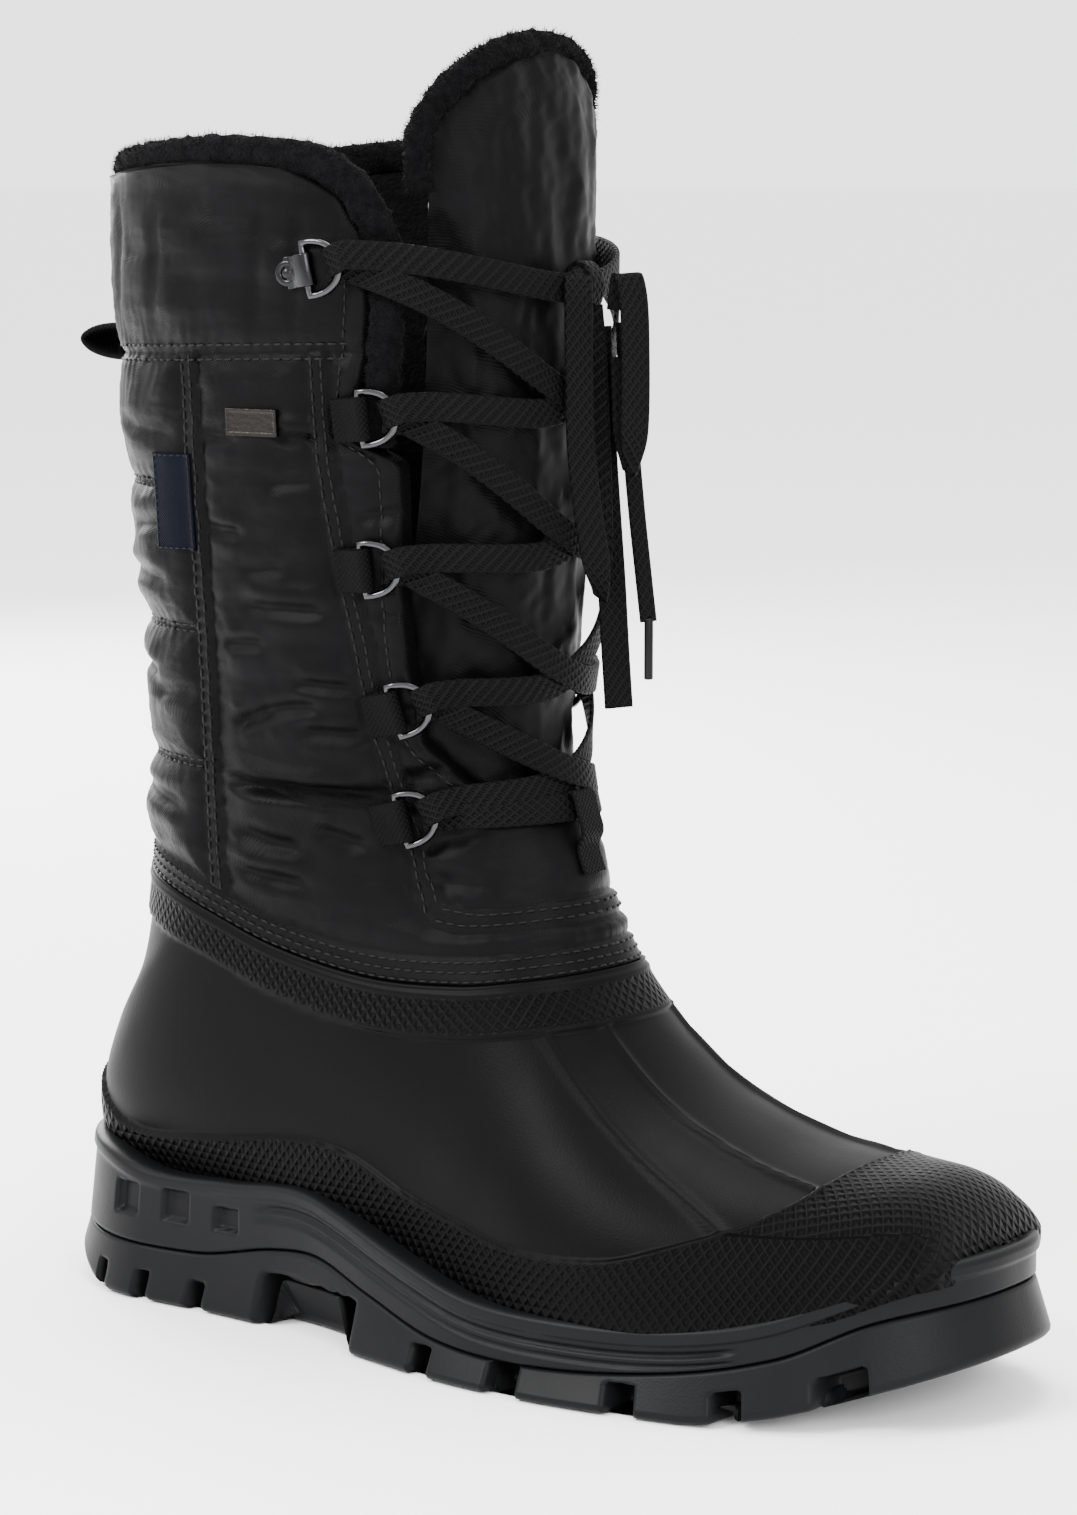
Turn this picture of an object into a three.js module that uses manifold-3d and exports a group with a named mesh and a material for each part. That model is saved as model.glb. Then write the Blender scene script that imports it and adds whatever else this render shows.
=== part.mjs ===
// A snow boot for the right foot: a moulded rubber foot on a lugged sole, and a padded, laced shaft above it.
// Millimetres. +X runs from heel to toe, +Y to the boot's inner side, -Y to its outer side, +Z up.
// The origin is on the floor, under the middle of the heel.
import * as THREE from "three";
import { mergeVertices } from "three/addons/utils/BufferGeometryUtils.js";
import Module from "manifold-3d";

const wasm = await Module();
wasm.setup();

// Driving dimensions of the last and the sole
const soleLength = 300;
const heelReach = 40; // from the origin back to the sole's rear edge
const ballWidth = 112; // across the sole's flange at the ball of the foot
const heelHeight = 38; // from the floor to the top of the flange at the heel
const instepHeight = 104; // from the floor to the rubber foot's rim in front
const collarHeight = 325; // from the floor to the collar's rim
const tongueHeight = 363; // from the floor to the tongue's top
const shaftWidth = 110; // across the shaft at the collar

// Walls and the steps that stand out of them
const rubberWall = 3;
const shaftWall = 5;
const tongueWall = 7;
const rubberStep = 1.3; // rand, toe cap, top band and ridges
const quiltStep = 1.6; // quilted panels and facing
const seamWidth = 3; // the groove between two panels
const bindingWidth = 9; // the fleece edge of the collar
const tongueBindingWidth = 7;
const bandHeight = 13; // the rubber foot's top band
const tapeHeight = 9; // the shaft's lower binding tape
const lap = 9; // how far the shaft runs down inside the rubber foot
const gap = 0.3; // between pieces that meet

// Sole
const seatDepth = 4; // how far the rubber foot sits below the flange's top
const treadFlare = 4; // how far the tread stands out at the floor
const lugDepth = 7;
const grooveDepth = 1.5;

// Rings, tabs, trim and laces
const laceWidth = 8;
const laceThickness = 1.6;
const ringHeight = 16.5;
const ringReach = 12;
const wireWidth = 2;
const tabWidth = 12;
const tabLength = 7;
const webThickness = 1.1;
const rivetWidth = 7;
const keeperWidth = 10;
const loopWidth = 22;
const loopReach = 24;
const plateLength = 17;
const plateHeight = 7.5;
const plateThickness = 1.2;
const labelWidth = 14;
const labelHeight = 27;
const labelThickness = 0.8;

const halfBall = ballWidth / 2;
const halfShaft = shaftWidth / 2;
const sharedX = (share) => share * soleLength - heelReach;
const shareOf = (x) => (x + heelReach) / soleLength;

// A height share up to 1 is of the instep; from 1 to 2 it climbs the shaft, and 2 is the collar's rim.
const sharedZ = (share) =>
  share <= 1 ? share * instepHeight : instepHeight + (share - 1) * (collarHeight - instepHeight);

// A smooth curve through a table's rows, which climb in the column named key
function along(rows, key, column, at) {
  const last = rows.length - 1;
  let i = rows.findIndex((row) => row[key] > at) - 1;
  if (i < -1) i = last - 1;
  i = Math.min(Math.max(i, 0), last - 1);
  const slope = (k) => {
    const before = rows[Math.max(k - 1, 0)];
    const after = rows[Math.min(k + 1, last)];
    return (after[column] - before[column]) / (after[key] - before[key]);
  };
  const span = rows[i + 1][key] - rows[i][key];
  const t = Math.min(Math.max((at - rows[i][key]) / span, 0), 1);
  const blend = t * t * (3 - 2 * t);
  return (
    rows[i][column] * (1 - blend) +
    rows[i + 1][column] * blend +
    span * (slope(i) * (t * t * t - 2 * t * t + t) + slope(i + 1) * (t * t * t - t * t))
  );
}

// The boot's outer form, as sections across it from the toe over the instep and up the shaft. Each runs through
// a point of the top or front line and one of the bottom or back line. X is a share of the sole's length.
const sectionEnds = [
  { topX: 0.972, topZ: 0.42, lowX: 0.972, lowZ: 0.375 },
  { topX: 0.966, topZ: 0.485, lowX: 0.966, lowZ: 0.335 },
  { topX: 0.948, topZ: 0.54, lowX: 0.948, lowZ: 0.31 },
  { topX: 0.918, topZ: 0.575, lowX: 0.918, lowZ: 0.265 },
  { topX: 0.863, topZ: 0.59, lowX: 0.86, lowZ: 0.21 },
  { topX: 0.783, topZ: 0.63, lowX: 0.777, lowZ: 0.165 },
  { topX: 0.7, topZ: 0.73, lowX: 0.69, lowZ: 0.145 },
  { topX: 0.64, topZ: 0.875, lowX: 0.6, lowZ: 0.15 },
  { topX: 0.603, topZ: 1.01, lowX: 0.51, lowZ: 0.19 },
  { topX: 0.58, topZ: 1.075, lowX: 0.42, lowZ: 0.25 },
  { topX: 0.56, topZ: 1.135, lowX: 0.32, lowZ: 0.295 },
  { topX: 0.543, topZ: 1.19, lowX: 0.22, lowZ: 0.29 },
  { topX: 0.533, topZ: 1.24, lowX: 0.115, lowZ: 0.3 },
  { topX: 0.528, topZ: 1.29, lowX: 0.038, lowZ: 0.36 },
  { topX: 0.527, topZ: 1.335, lowX: 0.007, lowZ: 0.48 },
  { topX: 0.528, topZ: 1.38, lowX: 0.02, lowZ: 0.645 },
  { topX: 0.53, topZ: 1.43, lowX: 0.056, lowZ: 0.83 },
  { topX: 0.531, topZ: 1.485, lowX: 0.074, lowZ: 1.025 },
  { topX: 0.532, topZ: 1.545, lowX: 0.086, lowZ: 1.155 },
  { topX: 0.533, topZ: 1.62, lowX: 0.092, lowZ: 1.28 },
  { topX: 0.533, topZ: 1.7, lowX: 0.087, lowZ: 1.42 },
  { topX: 0.533, topZ: 1.8, lowX: 0.073, lowZ: 1.59 },
  { topX: 0.533, topZ: 1.91, lowX: 0.0615, lowZ: 1.79 },
  { topX: 0.531, topZ: 2.02, lowX: 0.06, lowZ: 2.02 },
  { topX: 0.524, topZ: 2.12, lowX: 0.06, lowZ: 2.12 },
  { topX: 0.5, topZ: 2.22, lowX: 0.06, lowZ: 2.22 },
];

// The same sections' shapes: half widths, shares of half the ball's width in the foot and of half the shaft's
// above it, the middle's place across, the height of the widest part as a share of the section's, and the
// powers of the curves above and below it
const sectionShapes = [
  { outer: 0.03, inner: 0.03, axis: 0.2, widest: 0.45, crown: 2, base: 2 },
  { outer: 0.43, inner: 0.39, axis: 0.2, widest: 0.42, crown: 2.1, base: 2.6 },
  { outer: 0.53, inner: 0.515, axis: 0.18, widest: 0.38, crown: 2.2, base: 3.2 },
  { outer: 0.64, inner: 0.64, axis: 0.16, widest: 0.35, crown: 2.2, base: 4 },
  { outer: 0.79, inner: 0.785, axis: 0.13, widest: 0.33, crown: 2.2, base: 4.6 },
  { outer: 0.93, inner: 0.88, axis: 0.09, widest: 0.31, crown: 2.15, base: 5 },
  { outer: 0.98, inner: 0.86, axis: 0.05, widest: 0.29, crown: 2.05, base: 5 },
  { outer: 0.95, inner: 0.77, axis: 0.03, widest: 0.28, crown: 2, base: 5 },
  { outer: 0.85, inner: 0.68, axis: 0.01, widest: 0.3, crown: 2, base: 4.6 },
  { outer: 0.77, inner: 0.64, axis: 0, widest: 0.34, crown: 2, base: 4.2 },
  { outer: 0.735, inner: 0.65, axis: 0, widest: 0.37, crown: 2, base: 4 },
  { outer: 0.72, inner: 0.68, axis: 0, widest: 0.4, crown: 2.05, base: 3.6 },
  { outer: 0.72, inner: 0.7, axis: 0, widest: 0.42, crown: 2.1, base: 3.2 },
  { outer: 0.73, inner: 0.715, axis: 0, widest: 0.44, crown: 2.15, base: 2.8 },
  { outer: 0.74, inner: 0.735, axis: 0, widest: 0.46, crown: 2.2, base: 2.4 },
  { outer: 0.755, inner: 0.755, axis: 0, widest: 0.47, crown: 2.25, base: 2.2 },
  { outer: 0.78, inner: 0.78, axis: 0, widest: 0.47, crown: 2.3, base: 2.15 },
  { outer: 0.82, inner: 0.82, axis: 0, widest: 0.47, crown: 2.3, base: 2.1 },
  { outer: 0.85, inner: 0.85, axis: 0, widest: 0.47, crown: 2.35, base: 2.1 },
  { outer: 0.88, inner: 0.88, axis: 0, widest: 0.47, crown: 2.4, base: 2.1 },
  { outer: 0.92, inner: 0.92, axis: 0, widest: 0.47, crown: 2.4, base: 2.1 },
  { outer: 0.96, inner: 0.96, axis: 0, widest: 0.47, crown: 2.4, base: 2.1 },
  { outer: 0.99, inner: 0.99, axis: 0, widest: 0.47, crown: 2.4, base: 2.1 },
  { outer: 1, inner: 1, axis: 0, widest: 0.47, crown: 2.4, base: 2.1 },
  { outer: 1, inner: 1, axis: 0, widest: 0.47, crown: 2.4, base: 2.1 },
  { outer: 1, inner: 1, axis: 0, widest: 0.47, crown: 2.4, base: 2.1 },
];
const firstShaftSection = 17;
const sections = sectionEnds.map((ends, index) => {
  const shape = sectionShapes[index];
  const half = index < firstShaftSection ? halfBall : halfShaft;
  return {
    ...shape,
    index,
    topX: sharedX(ends.topX),
    topZ: sharedZ(ends.topZ),
    lowX: sharedX(ends.lowX),
    lowZ: sharedZ(ends.lowZ),
    outer: shape.outer * half,
    inner: shape.inner * half,
    axis: shape.axis * halfBall,
  };
});
const lastSection = sections.length - 1;

// A point of the outer form: station counts sections from the toe, and angle turns from the top or front line
// to the outer side, the bottom or back line at half a turn, and the inner side.
function formPoint(station, angle) {
  const at = (column) => along(sections, "index", column, station);
  const across = Math.sin(angle);
  const up = Math.cos(angle);
  const power = 2 / (up >= 0 ? at("crown") : at("base"));
  const reach = Math.pow(Math.abs(up), power);
  const widest = at("widest");
  const rise = up >= 0 ? widest + (1 - widest) * reach : widest - widest * reach;
  const width = Math.pow(Math.abs(across), power) * (across >= 0 ? -at("outer") : at("inner"));
  return new THREE.Vector3(
    at("lowX") + (at("topX") - at("lowX")) * rise,
    at("axis") + width,
    at("lowZ") + (at("topZ") - at("lowZ")) * rise,
  );
}

function formNormal(station, angle) {
  const step = 0.02;
  const low = Math.max(station - step, 0);
  const high = Math.min(station + step, lastSection);
  const alongStations = formPoint(high, angle).sub(formPoint(low, angle));
  const aroundSection = formPoint(station, angle + step).sub(formPoint(station, angle - step));
  return alongStations.cross(aroundSection).normalize();
}

const offForm = (station, angle, offset) =>
  formPoint(station, angle).addScaledVector(formNormal(station, angle), offset);

// The place on the form that has two given coordinates, searched from a first guess
function onForm(wanted, guess) {
  let { station, angle } = guess;
  const miss = (s, a) => {
    const p = formPoint(s, a);
    return Object.keys(wanted).reduce((sum, key) => sum + (p[key] - wanted[key]) ** 2, 0);
  };
  let best = miss(station, angle);
  for (let reach = 1; reach > 1e-3; ) {
    const better = [
      [reach, 0],
      [-reach, 0],
      [0, reach / 3],
      [0, -reach / 3],
    ]
      .map(([ds, da]) => [Math.min(Math.max(station + ds, 0), lastSection), angle + da])
      .find(([s, a]) => miss(s, a) < best);
    if (better) {
      [station, angle] = better;
      best = miss(station, angle);
    } else reach /= 2;
  }
  const normal = formNormal(station, angle);
  const up = new THREE.Vector3(0, 0, 1).addScaledVector(normal, -normal.z).normalize();
  const forward = up.clone().cross(normal);
  if (forward.x < 0) forward.negate();
  return { point: formPoint(station, angle), normal, up, forward };
}
const onSide = (side, x, z) => onForm({ x, z }, { station: 20, angle: side < 0 ? 1.2 : -1.2 });
const onFront = (y, z) => onForm({ y, z }, { station: 19, angle: -y / halfShaft });

// A closed geometry through rings of points, with fans over its two ends, or joined end to end
function loft(rings, closed = false) {
  const count = rings[0].length;
  const positions = [];
  const triangle = (a, b, c) => positions.push(...a.toArray(), ...b.toArray(), ...c.toArray());
  const bands = closed ? rings.length : rings.length - 1;
  for (let r = 0; r < bands; r++) {
    const next = rings[(r + 1) % rings.length];
    for (let i = 0; i < count; i++) {
      const j = (i + 1) % count;
      triangle(rings[r][i], rings[r][j], next[j]);
      triangle(rings[r][i], next[j], next[i]);
    }
  }
  const cap = (ring, turned) => {
    const middle = ring.reduce((sum, p) => sum.add(p), new THREE.Vector3()).divideScalar(count);
    for (let i = 0; i < count; i++) {
      const j = (i + 1) % count;
      if (turned) triangle(middle, ring[j], ring[i]);
      else triangle(middle, ring[i], ring[j]);
    }
  };
  if (!closed) {
    cap(rings[0], true);
    cap(rings[rings.length - 1], false);
  }
  return new THREE.BufferGeometry().setAttribute("position", new THREE.Float32BufferAttribute(positions, 3));
}

function solidOf(geometry) {
  const flat = geometry.index ? geometry.toNonIndexed() : geometry;
  const bare = new THREE.BufferGeometry().setAttribute("position", flat.getAttribute("position"));
  const merged = mergeVertices(bare, 1e-3);
  const make = (triVerts) =>
    new wasm.Manifold(
      new wasm.Mesh({ numProp: 3, vertProperties: merged.attributes.position.array, triVerts }),
    );
  const corners = new Uint32Array(merged.index.array);
  const made = make(corners);
  if (made.volume() >= 0) return made;
  return make(corners.map((_, i) => corners[[0, 2, 1][i % 3] + i - (i % 3)]));
}
const joined = (solids) => solids.reduce((sum, solid) => sum.add(solid));

const outerSides = 20;
const innerSides = 12;

// The outer form as a solid between two stations, grown or shrunk by an offset
function formSolid(offset, from = 0, to = lastSection) {
  const sides = offset < -1 ? innerSides : outerSides;
  const rings = [];
  for (let station = from; station <= to; station++)
    rings.push(Array.from({ length: sides }, (_, i) => offForm(station, (2 * Math.PI * i) / sides, offset)));
  return solidOf(loft(rings));
}

// Cutting solids: an outline drawn in side view or in front view, run through the whole boot
const through = 500;
function sideCut(points, fromY = -through / 2) {
  const shape = new THREE.Shape(points.map(([x, z]) => new THREE.Vector2(x, z)));
  const geometry = new THREE.ExtrudeGeometry(shape, { depth: through, bevelEnabled: false });
  return solidOf(geometry.rotateX(Math.PI / 2).translate(0, fromY + through, 0));
}
function frontCut(points, fromX) {
  const shape = new THREE.Shape(points.map(([y, z]) => new THREE.Vector2(y, z)));
  const geometry = new THREE.ExtrudeGeometry(shape, { depth: through, bevelEnabled: false });
  return solidOf(geometry.rotateX(Math.PI / 2).rotateZ(Math.PI / 2).translate(fromX, 0, 0));
}
const box = (fromX, toX, fromY, toY, fromZ, toZ) =>
  solidOf(
    new THREE.BoxGeometry(toX - fromX, toY - fromY, toZ - fromZ).translate(
      (fromX + toX) / 2,
      (fromY + toY) / 2,
      (fromZ + toZ) / 2,
    ),
  );
const everything = (fromZ, toZ) => box(-through, through, -through, through, fromZ, toZ);

// The region between two heights that vary along the boot, drawn through the same places for every line
const behind = -heelReach - 20;
const ahead = soleLength - 20;
const sideStep = 20;
function between(low, high, fromX = behind, toX = ahead) {
  const xs = [fromX];
  for (let x = behind + sideStep; x < toX; x += sideStep) if (x > fromX) xs.push(x);
  xs.push(toX);
  return sideCut([...xs.map((x) => [x, low(x)]), ...xs.reverse().map((x) => [x, high(x)])]);
}

// The sole's outline from heel to toe, before its ends are rounded. Widths are shares of half the ball width.
const solePlan = [
  { along: 0.0, axis: 0.0, outer: 0.74, inner: 0.74 },
  { along: 0.14, axis: 0.0, outer: 0.75, inner: 0.74 },
  { along: 0.24, axis: 0.0, outer: 0.745, inner: 0.69 },
  { along: 0.34, axis: 0.0, outer: 0.79, inner: 0.66 },
  { along: 0.44, axis: 0.01, outer: 0.93, inner: 0.7 },
  { along: 0.55, axis: 0.03, outer: 1.05, inner: 0.82 },
  { along: 0.66, axis: 0.06, outer: 1.07, inner: 0.93 },
  { along: 0.78, axis: 0.11, outer: 1.01, inner: 0.95 },
  { along: 0.9, axis: 0.17, outer: 0.92, inner: 0.86 },
  { along: 1.0, axis: 0.21, outer: 0.86, inner: 0.76 },
];
const heelFlare = 2.5; // how far the heel's side stands out at the parting line
const flareEnd = 0.3; // where that flare has run out, as a share of the sole's length
const heelRound = 0.14; // how far from each end the outline is rounded, as shares of the sole's length
const toeRound = 0.253;
const toeBluntness = 2.3;

function roundedEnd(distance, power) {
  const inset = 1 - Math.min(Math.max(distance, 0), 1);
  return Math.pow(1 - Math.pow(inset, power), 1 / power);
}

// The outline's two edges at a share of its length, grown all round
function planAt(share, grow) {
  const x = sharedX(share) + grow * (2 * share - 1);
  const blunt = roundedEnd(share / heelRound, 2) * roundedEnd((1 - share) / toeRound, toeBluntness);
  const axis = along(solePlan, "along", "axis", share) * halfBall;
  const half = (side) =>
    Math.max((along(solePlan, "along", side, share) * halfBall + grow) * blunt, 0.6);
  return { x, outer: axis - half("outer"), inner: axis + half("inner") };
}

// Lines of the sole's side, as shares of the sole's length and of the heel's height
const flangeTop = [
  { along: 0.0, height: 1.16 },
  { along: 0.07, height: 1.12 },
  { along: 0.15, height: 1.0 },
  { along: 0.24, height: 1.02 },
  { along: 0.33, height: 1.08 },
  { along: 0.4, height: 0.98 },
  { along: 0.48, height: 0.8 },
  { along: 0.57, height: 0.63 },
  { along: 0.68, height: 0.6 },
  { along: 0.77, height: 0.64 },
  { along: 0.85, height: 0.76 },
  { along: 0.92, height: 0.99 },
  { along: 0.96, height: 1.12 },
  { along: 1.0, height: 1.18 },
];
const partingLine = [
  { along: 0.0, height: 0.45 },
  { along: 0.2, height: 0.42 },
  { along: 0.3, height: 0.57 },
  { along: 0.36, height: 0.6 },
  { along: 0.43, height: 0.46 },
  { along: 0.52, height: 0.27 },
  { along: 0.62, height: 0.22 },
  { along: 0.75, height: 0.3 },
  { along: 0.86, height: 0.48 },
  { along: 0.93, height: 0.74 },
  { along: 1.0, height: 0.88 },
];
const randTop = [
  { along: 0.0, height: 1.85 },
  { along: 0.04, height: 1.45 },
  { along: 0.1, height: 1.25 },
  { along: 0.2, height: 1.31 },
  { along: 0.32, height: 1.44 },
  { along: 0.39, height: 1.4 },
  { along: 0.46, height: 1.2 },
  { along: 0.53, height: 1.08 },
  { along: 0.6, height: 1.0 },
  { along: 0.7, height: 1.04 },
  { along: 0.77, height: 1.21 },
  { along: 0.82, height: 1.36 },
  { along: 0.86, height: 1.6 },
  { along: 0.9, height: 2.2 },
  { along: 1.0, height: 3.0 },
];
const treadBottom = [
  { along: 0.0, height: 0.28 },
  { along: 0.055, height: 0.12 },
  { along: 0.1, height: 0.0 },
  { along: 0.5, height: 0.0 },
  { along: 0.78, height: 0.0 },
  { along: 0.86, height: 0.1 },
  { along: 0.94, height: 0.3 },
  { along: 1.0, height: 0.46 },
];
const heightOf = (rows) => (x) => along(rows, "along", "height", shareOf(x)) * heelHeight;
const flangeTopAt = heightOf(flangeTop);
const partingAt = heightOf(partingLine);
const randTopAt = heightOf(randTop);
const treadBottomAt = (x) => Math.max(heightOf(treadBottom)(x), 0);

// The rubber foot's upper edge, as shares of the sole's length and of the instep's height
const shellTop = [
  { along: 0.0, height: 1.24 },
  { along: 0.1, height: 1.2 },
  { along: 0.2, height: 1.14 },
  { along: 0.3, height: 1.04 },
  { along: 0.4, height: 0.985 },
  { along: 0.5, height: 0.985 },
  { along: 0.57, height: 1.01 },
  { along: 0.63, height: 1.03 },
  { along: 0.7, height: 1.03 },
];
const shellTopAt = (x) => along(shellTop, "along", "height", shareOf(x)) * instepHeight;
const rimFront = sharedX(0.68); // just ahead of the rubber foot's rim

// A slab of the sole: a loft along the outline whose side wall rises through levels of growth and height
function soleSlab(levels, steps = 26) {
  const rings = [];
  for (let k = 0; k <= steps; k++) {
    const share = (1 - Math.cos((Math.PI * k) / steps)) / 2;
    const flareHere = Math.max(1 - share / flareEnd, 0) * heelFlare;
    const edge = (side) =>
      levels.map(({ grow, flare, height }) => {
        const place = planAt(share, flare ? grow + flareHere : grow);
        return new THREE.Vector3(place.x, place[side], height(place.x));
      });
    rings.push([...edge("outer"), ...edge("inner").reverse()]);
  }
  return solidOf(loft(rings));
}

// Notches between the lugs, as shares of the sole's length
const notches = [
  { from: 0.085, to: 0.1 },
  { from: 0.138, to: 0.157 },
  { from: 0.203, to: 0.225 },
  { from: 0.5, to: 0.525 },
  { from: 0.59, to: 0.625 },
  { from: 0.71, to: 0.74 },
  { from: 0.805, to: 0.832 },
  { from: 0.885, to: 0.925 },
];
const waist = { from: 0.287, to: 0.425, height: 0.36 }; // the raised arch between heel and forefoot
const notchInner = 0.5; // where a notch ends inwards, as a share of half the ball width

function outsole() {
  const wall = soleSlab([
    { grow: treadFlare - 1, height: treadBottomAt },
    { grow: treadFlare, height: (x) => treadBottomAt(x) + 1.5 },
    { grow: 0, flare: true, height: partingAt },
  ]);
  const inside = halfBall * notchInner;
  const cuts = notches.flatMap(({ from, to }) => {
    const roof = treadBottomAt(sharedX(from)) + lugDepth;
    return [
      box(sharedX(from), sharedX(to), -ballWidth, -inside, -1, roof),
      box(sharedX(from), sharedX(to), inside, ballWidth, -1, roof),
    ];
  });
  const roof = waist.height * heelHeight;
  cuts.push(box(sharedX(waist.from), sharedX(waist.to), -ballWidth, ballWidth, -1, roof));
  return wall.subtract(joined(cuts));
}

// Windows in the heel's side, as shares of the sole's length and of the heel's height
const pocket = { from: 0.1, step: 0.062, width: 0.032, count: 3, low: 0.66, high: 0.9 };
const sideGroove = { from: 0.27, to: 0.84, below: 7.5, height: 2.5 };
const heelCavity = 15; // the first station above the foot bed

function midsole() {
  const cup = soleSlab([
    { grow: 0, flare: true, height: (x) => partingAt(x) + gap },
    { grow: 0, height: (x) => flangeTopAt(x) - 1 },
    { grow: -1.2, height: (x) => flangeTopAt(x) + 1 },
  ]);
  const core = soleSlab([
    { grow: -grooveDepth, flare: true, height: (x) => partingAt(x) - 1 },
    { grow: -grooveDepth, height: (x) => flangeTopAt(x) + 1 },
  ]);
  const low = (x) => flangeTopAt(x) - sideGroove.below - sideGroove.height;
  const high = (x) => low(x) + sideGroove.height;
  const groove = between(low, high, sharedX(sideGroove.from), sharedX(sideGroove.to));
  const pockets = Array.from({ length: pocket.count }, (_, i) => {
    const x = sharedX(pocket.from + (i - 0.5) * pocket.step);
    const toX = x + pocket.width * soleLength;
    return box(x, toX, -ballWidth, ballWidth, pocket.low * heelHeight, pocket.high * heelHeight);
  });
  const cuts = joined([groove, ...pockets]).subtract(core).add(formSolid(gap, 0, heelCavity));
  return cup.subtract(cuts).intersect(between(() => 0, flangeTopAt));
}

// Ridges that run down the vamp, in plan: shares of the sole's length and of half the ball width
const vampRidges = [
  { topX: 0.53, topY: 0.58, toeX: 0.8, toeY: 0.66 },
  { topX: 0.6, topY: 0.24, toeX: 0.87, toeY: 0.28 },
];
const ridgeWidth = 2.5;
const toeTurn = 0.09; // how far the ridges' toe ends lie towards the inner side, of half the ball width
function ridgeCut({ topX, topY, toeX, toeY }, side) {
  const from = new THREE.Vector2(sharedX(topX), side * topY * halfBall);
  const to = new THREE.Vector2(sharedX(toeX), (side * toeY + toeTurn) * halfBall);
  const bar = new THREE.BoxGeometry(from.distanceTo(to), ridgeWidth, through)
    .rotateZ(to.clone().sub(from).angle())
    .translate((from.x + to.x) / 2, (from.y + to.y) / 2, through / 2 + heelHeight);
  return solidOf(bar);
}

const ankle = 20; // a station above the rubber foot
const seatAt = (x) => flangeTopAt(x) - seatDepth;
const footForm = formSolid(0, 0, ankle);
const footHollow = formSolid(-rubberWall, 0, ankle);

// The rubber foot: one wall, with the rand and toe cap, the top band and the vamp's ridges standing out of it
function shell() {
  const rand = between((x) => flangeTopAt(x) + gap, randTopAt);
  const topBand = between((x) => shellTopAt(x) - bandHeight, shellTopAt, behind, rimFront);
  const bands = formSolid(rubberStep, 0, ankle).intersect(rand.add(topBand));
  const ridges = formSolid(rubberStep * 0.6, 0, ankle).intersect(
    joined(vampRidges.flatMap((ridge) => [ridgeCut(ridge, -1), ridgeCut(ridge, 1)])),
  );
  return joined([footForm, bands, ridges])
    .subtract(footHollow)
    .intersect(between(seatAt, shellTopAt));
}

const insole = () => footForm.intersect(between(() => 0, (x) => seatAt(x) - gap));

// The throat in front view: half its width, as a share of the shaft's, at heights between instep and collar
const throat = [
  { height: 1.208, half: 0.0 },
  { height: 1.22, half: 0.25 },
  { height: 1.245, half: 0.41 },
  { height: 1.3, half: 0.555 },
  { height: 1.39, half: 0.64 },
  { height: 1.48, half: 0.69 },
  { height: 1.64, half: 0.735 },
  { height: 1.82, half: 0.73 },
  { height: 1.9, half: 0.735 },
  { height: 1.965, half: 0.79 },
  { height: 2.0, half: 0.86 },
  { height: 2.02, half: 0.93 },
  { height: 2.036, half: 1.02 },
];

// The collar's rim in side view, as shares of the sole's length and heights between instep and collar
const collarRim = [
  { along: 0.05, height: 2.008 },
  { along: 0.15, height: 2.026 },
  { along: 0.25, height: 2.038 },
  { along: 0.33, height: 2.038 },
  { along: 0.44, height: 2.02 },
  { along: 0.6, height: 2.0 },
];
const collarRimAt = (x) => sharedZ(along(collarRim, "along", "height", shareOf(x)));
const throatBack = sharedX(0.333); // the throat's cut begins this far forward
const bindingEnd = 1.66; // the binding runs down the throat to this height share
function throatOutline(grow, everywhere = false) {
  const rise = everywhere ? -grow : 0;
  const side = throat.map(({ height, half }) => [
    Math.max(half * halfShaft + (everywhere || height > bindingEnd ? grow : 0), 0.01),
    sharedZ(height) + rise,
  ]);
  const top = [side[side.length - 1][0] + 4, collarHeight + 20];
  const whole = [...side, top];
  return [...whole, ...whole.map(([y, z]) => [-y, z]).reverse()];
}

const shaftStart = 7;
const shaftForm = formSolid(0, shaftStart);
const shaftHollow = formSolid(-shaftWall, shaftStart);
const collarSeam = [
  { along: 0.05, height: 1.763 },
  { along: 0.4, height: 1.78 },
  { along: 0.6, height: 1.78 },
];
const collarSeamAt = (x) => sharedZ(along(collarSeam, "along", "height", shareOf(x)));
const quiltLines = [1.606, 1.424, 1.251]; // heights of the rear panel's quilting lines
const rearSeam = 0.25; // shares of the sole's length
const frontSeam = [
  { along: 0.395, height: 1.78 },
  { along: 0.4, height: 1.62 },
  { along: 0.42, height: 1.43 },
  { along: 0.437, height: 1.25 },
  { along: 0.458, height: 1.18 },
  { along: 0.49, height: 1.13 },
  { along: 0.535, height: 1.1 },
  { along: 0.66, height: 1.09 },
];
const tapeTopAt = (x) => shellTopAt(x) + tapeHeight;

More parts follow.
